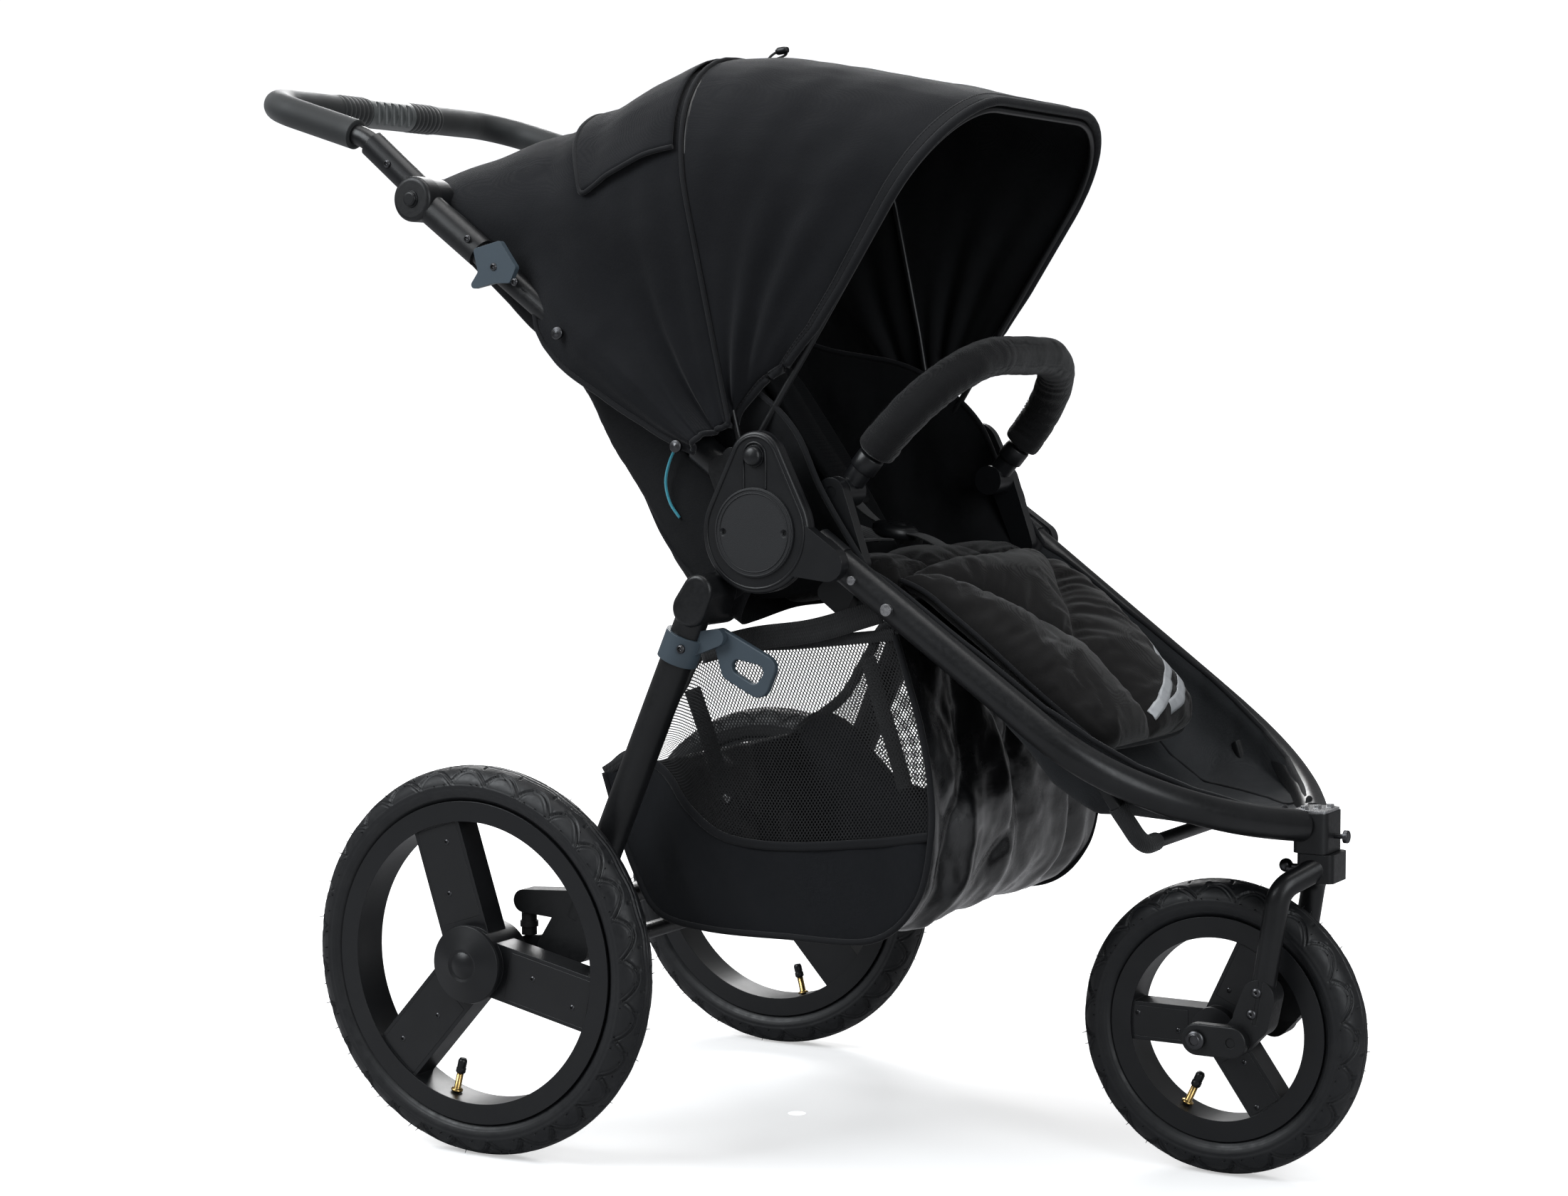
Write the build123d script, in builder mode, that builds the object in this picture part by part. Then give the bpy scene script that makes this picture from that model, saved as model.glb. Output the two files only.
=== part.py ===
"""Three-wheeled jogging stroller on a folding tubular frame.

Millimetres. +X points forward, +Y to the child's left, +Z up. The origin is on the ground,
under the middle of the rear axle. Right-hand pieces are drawn at negative Y and the left-hand
ones are their mirror images.
"""

from build123d import *
from math import cos, radians, sin
import os

os.makedirs("parts", exist_ok=True)

# ---------------------------------------------------------------- driving dimensions

# Wheels
REAR_R = 203.0           # 16 inch rear tyre, outside radius
REAR_TRACK = 304.0       # distance of each rear wheel from the centre plane
FRONT_R = 150.0          # 12 inch front tyre, outside radius
FRONT_X = 697.0          # front axle
STEER_X = 799.0          # upright steering axis

# Frame
HUB_X, HUB_Z = 297.0, 651.0          # fold pivot
JOINT_X, JOINT_Z = -120.0, 992.0     # angle joint of the handlebar
CANOPY_X, CANOPY_Z = 262.0, 724.0    # pivot shared by both canopy bows
BUMPER_X, BUMPER_Z = 355.0, 690.0    # pivot of the bumper bar
ARM_X, ARM_Z = 63.0, 215.0           # pivot of each rear swing arm
LINK_X, LINK_Z = 733.0, 150.0        # pivot of the front suspension links

SIDE_TUBE_R = 16.0
LEG_R = 17.0
UPPER_TUBE_R = 13.0
HANDLE_R = 11.0
WALL = 2.0
RUN = 0.05               # radial clearance of every running fit
GAP = 0.1                # clearance between faces that slide on each other

# Layers of the fold joint, as distances from the centre plane
REAR_KNUCKLE = (200.1, 217.9)
UPPER_KNUCKLE = (218.1, 235.9)
HOUSING = (236.0, 250.0)
KNUCKLE_R = 36.0
BOLT_R = 6.0

LEG_Y = 252.0
SIDE_TUBE_Y = 222.0
UPPER_Y_HUB, UPPER_Y_JOINT = 219.0, 235.0

LEG_TOP = (230.0, 574.0)
LEG_FOOT = (94.2, 262.0)
CROSS_ROD = (100.0, 262.0)     # upper cross tube, carries the brake pedal
CROSS_ROD_R = 11.0
CROSS_TUBE = (95.0, 215.0)     # lower cross tube
CROSS_TUBE_R = 9.0


# ---------------------------------------------------------------- shared construction

def side_plane(distance):
    """Plane facing right at this distance from the centre; its x and y are +X and +Z."""
    return Plane.XZ.offset(distance)


def hull_of(discs):
    """Fill the outline that wraps the discs (x, z, radius), in the sketch in hand."""
    for x, z, radius in discs:
        with Locations((x, z)):
            Circle(radius)
    if len(discs) > 1:
        make_hull()


def plate(layer, discs, mode=Mode.ADD):
    """Add a plate with a hull outline, between two distances from the centre plane."""
    with BuildPart() as slab:
        with BuildSketch(side_plane(layer[0])):
            hull_of(discs)
        extrude(amount=layer[1] - layer[0])
    add(slab.part, mode=mode)


def bar(start, end, radius, mode=Mode.ADD):
    """Add a round bar from start to end to the part in hand."""
    axis = Vector(*end) - Vector(*start)
    with BuildPart() as rod:
        with BuildSketch(Plane(origin=start, z_dir=axis)):
            Circle(radius)
        extrude(amount=axis.length)
    add(rod.part, mode=mode)


def cross_bar(x, z, layer, radius, mode=Mode.ADD):
    """Add a round bar along Y at (x, z), between two distances right of the centre plane."""
    bar((x, -layer[0], z), (x, -layer[1], z), radius, mode)


def bent_tube(points, bend, radius, bore=0.0):
    """Add a tube swept along a polyline whose corners are rounded to the bend radius."""
    with BuildPart() as tube:
        with BuildLine() as path:
            FilletPolyline(*points, radius=bend)
        with BuildSketch(path.line ^ 0):
            Circle(radius)
            if bore:
                Circle(bore, mode=Mode.SUBTRACT)
        sweep(path=path.line)
    add(tube.part)


def with_mirror(piece):
    """Builder that holds a right-hand piece and its left-hand mirror image."""
    with BuildPart() as both:
        add(piece)
        mirror(piece, about=Plane.XZ)
    return both


def mirrored(piece):
    """Builder that holds the left-hand mirror image of a right-hand piece."""
    with BuildPart() as left:
        mirror(piece, about=Plane.XZ)
    return left


def polar(centre, angle, distance):
    """Point in the XZ plane at an angle from +X towards +Z."""
    return (centre[0] + distance * cos(radians(angle)), centre[1] + distance * sin(radians(angle)))


# ---------------------------------------------------------------- front frame

HEAD_HALF = 24.0
HEAD_BACK, HEAD_FRONT = 776.0, 812.0
HEAD_MIDDLE = (HEAD_BACK + HEAD_FRONT) / 2
HEAD_LOW, HEAD_TOP = 336.0, 376.0
STEM_R = 8.0
SOCKET_START = (352.0, -SIDE_TUBE_Y, 641.0)
SOCKET_END = (378.0, -SIDE_TUBE_Y, 622.1)
BEND_START = (591.0, -212.0, 467.0)

with BuildPart() as right_side_tube:
    with BuildLine() as tube_path:
        slope = Vector(*BEND_START) - Vector(*SOCKET_END)
        Line(SOCKET_END, BEND_START)
        Spline(BEND_START, (674, -180, 414), (748, -92, 377), (785, -20, 363),
               tangents=[slope.normalized(), (0.45, 0.88, -0.14)])
    with BuildSketch(tube_path.line ^ 0):
        Circle(SIDE_TUBE_R)
        Circle(SIDE_TUBE_R - WALL, mode=Mode.SUBTRACT)
    sweep(path=tube_path.line)
    with Locations((HEAD_MIDDLE, 0, HEAD_TOP)):
        Box(HEAD_FRONT - HEAD_BACK, 2 * HEAD_HALF, 2 * (HEAD_TOP - HEAD_LOW), mode=Mode.SUBTRACT)
side_tubes = with_mirror(right_side_tube.part)
side_tubes.part.label = "side_tubes"
export_step(side_tubes.part, "parts/side_tubes.step")

LOCK_PIN_Z = 352.0
LOCK_PIN_R = 2.5
with BuildPart() as head_block:
    with Locations((HEAD_MIDDLE, 0, (HEAD_LOW + HEAD_TOP) / 2)):
        Box(HEAD_FRONT - HEAD_BACK, 2 * HEAD_HALF, HEAD_TOP - HEAD_LOW)
    fillet(head_block.edges().filter_by(Axis.Z), 8)
    bar((STEER_X, 0, HEAD_LOW - 1), (STEER_X, 0, HEAD_TOP - 6), STEM_R + RUN, Mode.SUBTRACT)
    bar((STEER_X, 0, LOCK_PIN_Z), (HEAD_FRONT + 1, 0, LOCK_PIN_Z), LOCK_PIN_R + RUN, Mode.SUBTRACT)
head_block.part.label = "head_block"
export_step(head_block.part, "parts/head_block.step")

HUB_TOP_Z = 722.0
SWEEP_R = 63.0           # space kept free for the turning knuckles
BUTTON_Z = 727.0
BUTTON_R = 11.0
with BuildPart() as right_housing:
    plate(HOUSING, [(HUB_X, HUB_Z, 61), (HUB_X, HUB_TOP_Z, 30)])
    fillet(right_housing.faces().sort_by(Axis.Y)[0].edges(), 4)
    plate(HOUSING, [(330, 640, 30), (378, 622, 17.5)])
    plate((215, 245), [(364, 633, 15), (376, 624, 15)])
    bar(SOCKET_START, SOCKET_END, 17.5)
    add(right_side_tube.part, mode=Mode.SUBTRACT)
    bar(SOCKET_END, (400, -221, 606.1), SIDE_TUBE_R - WALL - 4 * RUN)
    cross_bar(HUB_X, HUB_Z, (REAR_KNUCKLE[0], HOUSING[0]), SWEEP_R, Mode.SUBTRACT)
    cross_bar(HUB_X, HUB_Z, (HOUSING[0] - 1, HOUSING[1] + 1), BOLT_R + RUN, Mode.SUBTRACT)
    cross_bar(HUB_X, BUTTON_Z, (240.4, HOUSING[1] + 1), BUTTON_R + RUN, Mode.SUBTRACT)
hub_housings = with_mirror(right_housing.part)
hub_housings.part.label = "hub_housings"
export_step(hub_housings.part, "parts/hub_housings.step")

COVER_R = 45.0
COVER_T = 3.0
with BuildPart() as right_cover:
    cross_bar(HUB_X, HUB_Z, (HOUSING[1] + RUN, HOUSING[1] + COVER_T), COVER_R)
    fillet(right_cover.faces().sort_by(Axis.Y)[0].edges(), 1.2)
    with Locations(side_plane(HOUSING[1] + COVER_T)):
        with Locations((HUB_X - 35, HUB_Z), (HUB_X + 35, HUB_Z)):
            CounterSinkHole(radius=2, counter_sink_radius=4)
hub_covers = with_mirror(right_cover.part)
hub_covers.part.label = "hub_covers"
export_step(hub_covers.part, "parts/hub_covers.step")

with BuildPart() as right_button:
    cross_bar(HUB_X, BUTTON_Z, (244.5, 252.0), BUTTON_R)
    cross_bar(HUB_X, BUTTON_Z, (252.0, 255.0), BUTTON_R - 2)
    fillet(right_button.faces().sort_by(Axis.Y)[0].edges(), 1.5)
right_button.part.label = "hub_button_right"
export_step(right_button.part, "parts/hub_button_right.step")
left_button = mirrored(right_button.part)
left_button.part.label = "hub_button_left"
export_step(left_button.part, "parts/hub_button_left.step")

PLATE_T = 2.5
with BuildPart() as right_fasteners:
    cross_bar(HUB_X, HUB_Z, (197.5, 249.5), BOLT_R)
    cross_bar(HUB_X, HUB_Z, (192.0, 199.9), 10)
    cross_bar(400, 606, (236.4, 240.2), 4.5)
    cross_bar(438, 578.3, (234.6, 239.0), 6)
    add(right_side_tube.part, mode=Mode.SUBTRACT)
fasteners_both = with_mirror(right_fasteners.part)
with BuildPart() as frame_fasteners:
    add(fasteners_both.part)
    with BuildSketch(Plane.XY.offset(HEAD_TOP + GAP)):
        with Locations((HEAD_MIDDLE, 0)):
            RectangleRounded(HEAD_FRONT - HEAD_BACK - 2, 2 * HEAD_HALF - 4, 7)
    extrude(amount=PLATE_T)
    with BuildSketch(Plane.XY.offset(HEAD_TOP + GAP + PLATE_T)):
        with Locations((HEAD_MIDDLE + 9, 12), (HEAD_MIDDLE - 9, -12), (HEAD_MIDDLE, 0)):
            RegularPolygon(4.2, 6)
    extrude(amount=3)
frame_fasteners.part.label = "frame_fasteners"
export_step(frame_fasteners.part, "parts/frame_fasteners.step")

with BuildPart() as footrest_hoop:
    bent_tube([(640, -176, 415), (672, -150, 352), (672, 150, 352), (640, 176, 415)], 28, 7, 5.5)
footrest_hoop.part.label = "footrest_hoop"
export_step(footrest_hoop.part, "parts/footrest_hoop.step")

BRACKET = (186.0, 199.9)
with BuildPart() as right_bracket:
    plate(BRACKET, [(BUMPER_X, BUMPER_Z, 15), (382, 619, 12)])
    plate(BRACKET, [(382, 619, 12), (350, 590, 10), (366, 578, 10)])
    cross_bar(388, 614.8, (BRACKET[1] - 1, 206.5), 7)
    add(right_side_tube.part, mode=Mode.SUBTRACT)
    cross_bar(BUMPER_X, BUMPER_Z, (BRACKET[0] - 1, BRACKET[1] + 1), 6 + RUN, Mode.SUBTRACT)
seat_brackets = with_mirror(right_bracket.part)
seat_brackets.part.label = "seat_brackets"
export_step(seat_brackets.part, "parts/seat_brackets.step")


# ---------------------------------------------------------------- rear frame

leg_foot = (LEG_FOOT[0], -LEG_Y, LEG_FOOT[1])
leg_top = (LEG_TOP[0], -LEG_Y, LEG_TOP[1])
YOKE_LOW = (LEG_TOP[0], LEG_TOP[1], 19)
YOKE_HIGH = (240, 592, 17)
with BuildPart() as right_leg:
    plate((REAR_KNUCKLE[0], 270), [YOKE_LOW, YOKE_HIGH])
    fillet(right_leg.faces().sort_by(Axis.Y)[0].edges(), 5)
    bar(leg_foot, leg_top, LEG_R)
    bar(leg_foot, (216, -LEG_Y, 542), LEG_R - WALL, Mode.SUBTRACT)
    plate(REAR_KNUCKLE, [(HUB_X, HUB_Z, KNUCKLE_R), YOKE_HIGH])
    cross_bar(HUB_X, HUB_Z, (REAR_KNUCKLE[0] - 1, REAR_KNUCKLE[1] + 1), BOLT_R + RUN, Mode.SUBTRACT)
rear_legs = with_mirror(right_leg.part)
rear_legs.part.label = "rear_legs"
export_step(rear_legs.part, "parts/rear_legs.step")

SUSPENSION = (232.0, 271.0)
ARM_LAYER = (256.0, 264.0)
ARM_PIN_R = 5.0
with BuildPart() as right_suspension:
    bar((88.5, -LEG_Y, 249), (106, -LEG_Y, 289), 20)
    plate(SUSPENSION, [(97, 265, 19), (ARM_X, ARM_Z, 17), (CROSS_TUBE[0], CROSS_TUBE[1], 12)])
    plate((248, 271), [(91, 262, 16), (28, 262, 12)])
    bar(leg_foot, leg_top, LEG_R + RUN, Mode.SUBTRACT)
    slot = [(ARM_X, ARM_Z, 20), (40, 200, 22), (40, 225, 20)]
    plate((ARM_LAYER[0] - GAP, ARM_LAYER[1] + GAP), slot, Mode.SUBTRACT)
    cross_bar(ARM_X, ARM_Z, (ARM_LAYER[0] - 1, ARM_LAYER[1] + 1), ARM_PIN_R)
suspension_brackets = with_mirror(right_suspension.part)
suspension_brackets.part.label = "suspension_brackets"
export_step(suspension_brackets.part, "parts/suspension_brackets.step")

with BuildPart() as rear_cross_tubes:
    tube_end = SUSPENSION[0] - GAP
    bar((CROSS_ROD[0], -tube_end, CROSS_ROD[1]), (CROSS_ROD[0], tube_end, CROSS_ROD[1]), CROSS_ROD_R)
    bar((CROSS_TUBE[0], -tube_end, CROSS_TUBE[1]), (CROSS_TUBE[0], tube_end, CROSS_TUBE[1]), CROSS_TUBE_R)
rear_cross_tubes.part.label = "rear_cross_tubes"
export_step(rear_cross_tubes.part, "parts/rear_cross_tubes.step")

ELASTOMER_X = 28.0
with BuildPart() as right_elastomer:
    bar((ELASTOMER_X, -260, 225.5), (ELASTOMER_X, -260, 249), 8)
    bar((ELASTOMER_X, -260, 234), (ELASTOMER_X, -260, 240), 9.5)
suspension_elastomers = with_mirror(right_elastomer.part)
suspension_elastomers.part.label = "suspension_elastomers"
export_step(suspension_elastomers.part, "parts/suspension_elastomers.step")

CLAMP_LOW = (206.5, 520.0)
CLAMP_HIGH = (218.2, 547.0)
HOOK_PIVOT = (255.0, 545.0)
HOOK = (242.0, 249.0)
with BuildPart() as leg_clamp:
    bar((CLAMP_LOW[0], -LEG_Y, CLAMP_LOW[1]), (CLAMP_HIGH[0], -LEG_Y, CLAMP_HIGH[1]), 21)
    plate((249.2, 257), [(215, 534, 13), (HOOK_PIVOT[0], HOOK_PIVOT[1], 9)])
    cross_bar(HOOK_PIVOT[0], HOOK_PIVOT[1], (241, 250), 4)
    bar(leg_foot, leg_top, LEG_R + RUN, Mode.SUBTRACT)
    plate((HOOK[0] - GAP, HOOK[1] + GAP), [(HOOK_PIVOT[0], HOOK_PIVOT[1], 13)], Mode.SUBTRACT)
    cross_bar(HOOK_PIVOT[0], HOOK_PIVOT[1], (241, 250), 4)
leg_clamp.part.label = "leg_clamp"
export_step(leg_clamp.part, "parts/leg_clamp.step")

with BuildPart() as fold_hook:
    plate(HOOK, [(HOOK_PIVOT[0], HOOK_PIVOT[1], 9), (267, 512, 11), (298, 500, 14), (306, 516, 13)])
    plate(HOOK, [(276, 516, 7), (294, 508, 8), (298, 512, 7)], Mode.SUBTRACT)
    fillet(fold_hook.faces().sort_by(Axis.Y)[0].edges(), 1.5)
    cross_bar(HOOK_PIVOT[0], HOOK_PIVOT[1], (HOOK[0] - 1, HOOK[1] + 1), 4 + RUN, Mode.SUBTRACT)
fold_hook.part.label = "fold_hook"
export_step(fold_hook.part, "parts/fold_hook.step")

PEDAL_HALF = 42.0
with BuildPart() as brake_pedal:
    bar((CROSS_ROD[0], -PEDAL_HALF, CROSS_ROD[1]), (CROSS_ROD[0], PEDAL_HALF, CROSS_ROD[1]), 15.5)
    with BuildSketch(Plane.XY.offset(CROSS_ROD[1] - 4)):
        with Locations((58, 0)):
            RectangleRounded(76, 2 * PEDAL_HALF + 16, 12)
    extrude(amount=9)
    with BuildSketch(Plane.XY.offset(CROSS_ROD[1] + 5)):
        with Locations((48, 0)):
            with GridLocations(12, 0, 4, 1):
                RectangleRounded(5, 2 * PEDAL_HALF, 2)
    extrude(amount=2)
    bar((CROSS_ROD[0], -60, CROSS_ROD[1]), (CROSS_ROD[0], 60, CROSS_ROD[1]), CROSS_ROD_R + RUN,
        Mode.SUBTRACT)
brake_pedal.part.label = "brake_pedal"
export_step(brake_pedal.part, "parts/brake_pedal.step")

SPINDLE_R = 6.0
BRAKE_PIN_R = 3.5
BRAKE_RING_R = 22.0
with BuildPart() as right_arm:
    plate(ARM_LAYER, [(ARM_X, ARM_Z, 14), (0, REAR_R, 16)])
    plate(ARM_LAYER, [(ARM_X - 20, ARM_Z - 5, 10), (ELASTOMER_X, 215, 10)])
    cross_bar(0, REAR_R, (ARM_LAYER[0] - 3, 328), SPINDLE_R)
    cross_bar(0, REAR_R, (ARM_LAYER[1] - 1, 272), 13)
    cross_bar(ARM_X, ARM_Z, (250, 270), ARM_PIN_R + RUN, Mode.SUBTRACT)
    cross_bar(BRAKE_RING_R, REAR_R, (250, 280), BRAKE_PIN_R + RUN, Mode.SUBTRACT)
right_arm.part.label = "swing_arm_right"
export_step(right_arm.part, "parts/swing_arm_right.step")
left_arm = mirrored(right_arm.part)
left_arm.part.label = "swing_arm_left"
export_step(left_arm.part, "parts/swing_arm_left.step")

with BuildPart() as right_pin:
    cross_bar(BRAKE_RING_R, REAR_R, (248, 275), BRAKE_PIN_R)
    cross_bar(BRAKE_RING_R, REAR_R, (244, 248), 6)
right_pin.part.label = "brake_pin_right"
export_step(right_pin.part, "parts/brake_pin_right.step")
left_pin = mirrored(right_pin.part)
left_pin.part.label = "brake_pin_left"
export_step(left_pin.part, "parts/brake_pin_left.step")


# ---------------------------------------------------------------- wheels

SPOKE_W = 58.0
TUBE_WALL = 1.5  # rubber of the inner tubes
VALVE_BORE = 1.2
LIP_W = 3.5
BRAKE_HOLES = 12


def wheel_plane(x, y, z):
    """Plane across the axle, facing outward, whose y is up."""
    side = -1 if y <= 0 else 1
    return Plane(origin=(x, y, z), x_dir=(-side, 0, 0), z_dir=(0, side, 0))


def section_plane(plane):
    """Plane that holds the axle: x is the radius and y is outward along the axle."""
    return Plane(origin=plane.origin, x_dir=plane.x_dir, z_dir=-plane.y_dir)


def turned(plane, angle):
    """The same plane with its x and y turned about the axle."""
    turn = radians(angle)
    return Plane(origin=plane.origin, x_dir=plane.x_dir * cos(turn) + plane.y_dir * sin(turn),
                 z_dir=plane.z_dir)


def radial_bar(plane, angle, inner, outer, radius, mode=Mode.ADD):
    """Add a round bar along a radius of the wheel."""
    spoke = turned(plane, angle)
    start = spoke.from_local_coords(Vector(inner, 0, 0))
    end = spoke.from_local_coords(Vector(outer, 0, 0))
    bar(tuple(start), tuple(end), radius, mode)


def tyre_piece(plane, outer_r, width, lip_r, valve_angle):
    """Hollow tyre, open at the bead, with a hole for the valve."""
    middle = (outer_r + lip_r - 6) / 2
    height = outer_r - middle
    with BuildPart() as tyre:
        with BuildSketch(section_plane(plane)):
            with Locations((middle, 0)):
                Ellipse(height, width / 2)
                Ellipse(height - 3.5, width / 2 - 3.5, mode=Mode.SUBTRACT)
        revolve(axis=Axis(plane.origin, plane.z_dir))
        radial_bar(plane, valve_angle, lip_r - 20, middle, 4.5, Mode.SUBTRACT)
    return tyre


def tube_piece(plane, outer_r, width, lip_r, valve_angle):
    """Inner tube, hollow, with the valve that opens into it."""
    middle = (outer_r + lip_r - 6) / 2
    height = outer_r - middle - 3.7
    half_width = width / 2 - 3.7
    with BuildPart() as air_space:
        with BuildSketch(section_plane(plane)):
            with Locations((middle, 0)):
                Ellipse(height - TUBE_WALL, half_width - TUBE_WALL)
        revolve(axis=Axis(plane.origin, plane.z_dir))
        radial_bar(plane, valve_angle, lip_r - 57, middle, VALVE_BORE)
    with BuildPart() as inner_tube:
        with BuildSketch(section_plane(plane)):
            with Locations((middle, 0)):
                Ellipse(height, half_width)
        revolve(axis=Axis(plane.origin, plane.z_dir))
        radial_bar(plane, valve_angle, lip_r - 44, middle, 3)
        radial_bar(plane, valve_angle, lip_r - 56, lip_r - 43, 4.3)
        add(air_space.part, mode=Mode.SUBTRACT)
    return inner_tube


def rim_piece(plane, lip_r, width, hub, spoke_angles, bore_r, valve_angle):
    """Rim with channel, three flat spokes with a recess for their plates, and a hub."""
    hub_r, hub_in, hub_out = hub
    half = width / 2
    bed = lip_r - 10
    with BuildPart() as rim:
        with BuildSketch(section_plane(plane)):
            with BuildLine():
                Polyline((bed - 11, -half), (lip_r, -half), (lip_r, LIP_W - half),
                         (bed, LIP_W - half), (bed, half - LIP_W), (lip_r, half - LIP_W),
                         (lip_r, half), (bed - 11, half), close=True)
            make_face()
        revolve(axis=Axis(plane.origin, plane.z_dir))
        for angle in spoke_angles:
            with BuildSketch(turned(plane, angle).offset(-half + 8)):
                with Locations((bed / 2 - 3, 0)):
                    Rectangle(bed - 8, SPOKE_W * lip_r / 168)
            extrude(amount=2 * half - 11)
        with BuildSketch(plane.offset(-hub_in)):
            Circle(hub_r)
        extrude(amount=hub_in + hub_out)
        with BuildSketch(plane.offset(-hub_in)):
            Circle(bore_r + RUN)
        extrude(amount=hub_in + hub_out, mode=Mode.SUBTRACT)
        for angle in spoke_angles:
            with BuildSketch(turned(plane, angle).offset(half - 5)):
                with Locations(((hub_r + bed) / 2 - 3, 0)):
                    Rectangle(bed - hub_r - 20, SPOKE_W * lip_r / 168 - 8)
            extrude(amount=3, mode=Mode.SUBTRACT)
        radial_bar(plane, valve_angle, bed - 14, lip_r, 4.5, Mode.SUBTRACT)
    return rim


def spoke_plate_piece(plane, lip_r, width, hub_r, spoke_angles):
    """Three thin plates that sit in the recesses of the spokes."""
    bed = lip_r - 10
    with BuildPart() as plates:
        for angle in spoke_angles:
            with BuildSketch(turned(plane, angle).offset(width / 2 - 5 + GAP)):
                with Locations(((hub_r + bed) / 2 - 3, 0)):
                    Rectangle(bed - hub_r - 20 - 2 * GAP, SPOKE_W * lip_r / 168 - 8 - 2 * GAP)
            extrude(amount=2)
    return plates


REAR_LIP_R = 168.0
REAR_TYRE_W = 47.0
REAR_RIM_W = 42.0
REAR_HUB = (38.0, 28.0, 28.0)
REAR_SPOKES = (108, -12, 228)
REAR_VALVE = 256
CAP_BASE = REAR_HUB[2] + GAP
DOME_R, DOME_RISE = 14.0, 4.0

for side, name in ((-1, "right"), (1, "left")):
    plane = wheel_plane(0, side * REAR_TRACK, REAR_R)
    tyre = tyre_piece(plane, REAR_R, REAR_TYRE_W, REAR_LIP_R, REAR_VALVE)
    tyre.part.label = f"tyre_{name}"
    export_step(tyre.part, f"parts/tyre_{name}.step")

    inner_tube = tube_piece(plane, REAR_R, REAR_TYRE_W, REAR_LIP_R, REAR_VALVE)
    inner_tube.part.label = f"inner_tube_{name}"
    export_step(inner_tube.part, f"parts/inner_tube_{name}.step")

    plain_rim = rim_piece(plane, REAR_LIP_R, REAR_RIM_W, REAR_HUB, REAR_SPOKES, SPINDLE_R, REAR_VALVE)
    with BuildPart() as rim:
        add(plain_rim.part)
        with BuildSketch(plane.offset(-REAR_HUB[1])):
            with PolarLocations(BRAKE_RING_R, BRAKE_HOLES):
                Circle(BRAKE_PIN_R + 0.7)
        extrude(amount=9, mode=Mode.SUBTRACT)
    rim.part.label = f"rim_{name}"
    export_step(rim.part, f"parts/rim_{name}.step")

    plates = spoke_plate_piece(plane, REAR_LIP_R, REAR_RIM_W, REAR_HUB[0], REAR_SPOKES)
    plates.part.label = f"spoke_plates_{name}"
    export_step(plates.part, f"parts/spoke_plates_{name}.step")

    with BuildPart() as cap:
        with BuildSketch(section_plane(plane)):
            with BuildLine():
                Polyline((DOME_R, CAP_BASE + 9), (17, CAP_BASE + 10), (40, CAP_BASE + 3), (41, CAP_BASE),
                         (0, CAP_BASE), (0, CAP_BASE + 9 + DOME_RISE))
                RadiusArc((0, CAP_BASE + 9 + DOME_RISE), (DOME_R, CAP_BASE + 9),
                          (DOME_R ** 2 + DOME_RISE ** 2) / (2 * DOME_RISE))
            make_face()
        revolve(axis=Axis(plane.origin, plane.z_dir))
    cap.part.label = f"hub_cap_{name}"
    export_step(cap.part, f"parts/hub_cap_{name}.step")

FRONT_LIP_R = 114.0
FRONT_TYRE_W = 48.0
FRONT_RIM_W = 41.0
FRONT_HUB = (24.0, 30.0, 30.0)
FRONT_SPOKES = (180, 65, -55)
FRONT_VALVE = 245
AXLE_R = 5.0

front_plane = wheel_plane(FRONT_X, 0, FRONT_R)
front_tyre = tyre_piece(front_plane, FRONT_R, FRONT_TYRE_W, FRONT_LIP_R, FRONT_VALVE)
front_tyre.part.label = "tyre_front"
export_step(front_tyre.part, "parts/tyre_front.step")

front_inner_tube = tube_piece(front_plane, FRONT_R, FRONT_TYRE_W, FRONT_LIP_R, FRONT_VALVE)
front_inner_tube.part.label = "inner_tube_front"
export_step(front_inner_tube.part, "parts/inner_tube_front.step")

front_rim = rim_piece(front_plane, FRONT_LIP_R, FRONT_RIM_W, FRONT_HUB, FRONT_SPOKES, AXLE_R, FRONT_VALVE)
front_rim.part.label = "rim_front"
export_step(front_rim.part, "parts/rim_front.step")

front_plates = spoke_plate_piece(front_plane, FRONT_LIP_R, FRONT_RIM_W, FRONT_HUB[0], FRONT_SPOKES)
front_plates.part.label = "spoke_plates_front"
export_step(front_plates.part, "parts/spoke_plates_front.step")


# ---------------------------------------------------------------- fork and front suspension

CROWN_LOW, CROWN_TOP = 307.0, 335.5
CROWN_LENGTH = 38.0
FORK_R = 12.0
FORK_Y = 50.0
FORK_FOOT = (753.0, -FORK_Y, 168.0)
RELEASE_Z = 319.0
with BuildPart() as right_fork_leg:
    bent_tube([(802, -12, 322), (774, -FORK_Y, 303), FORK_FOOT], 24, FORK_R)
with BuildPart() as fork:
    with Locations((STEER_X, 0, (CROWN_LOW + CROWN_TOP) / 2)):
        Box(CROWN_LENGTH, 2 * HEAD_HALF - 2, CROWN_TOP - CROWN_LOW)
    fillet(fork.edges().filter_by(Axis.Z), 7)
    add(right_fork_leg.part)
    mirror(right_fork_leg.part, about=Plane.XZ)
    bar((STEER_X, 0, CROWN_TOP - 1), (STEER_X, 0, HEAD_TOP - 8), STEM_R)
    bar((STEER_X - 12, 0, LOCK_PIN_Z), (STEER_X + 12, 0, LOCK_PIN_Z), LOCK_PIN_R + 0.3, Mode.SUBTRACT)
    bar((STEER_X - 12, 0, RELEASE_Z), (STEER_X - 40, 0, RELEASE_Z), LOCK_PIN_R + RUN, Mode.SUBTRACT)
fork.part.label = "fork"
export_step(fork.part, "parts/fork.step")

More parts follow.
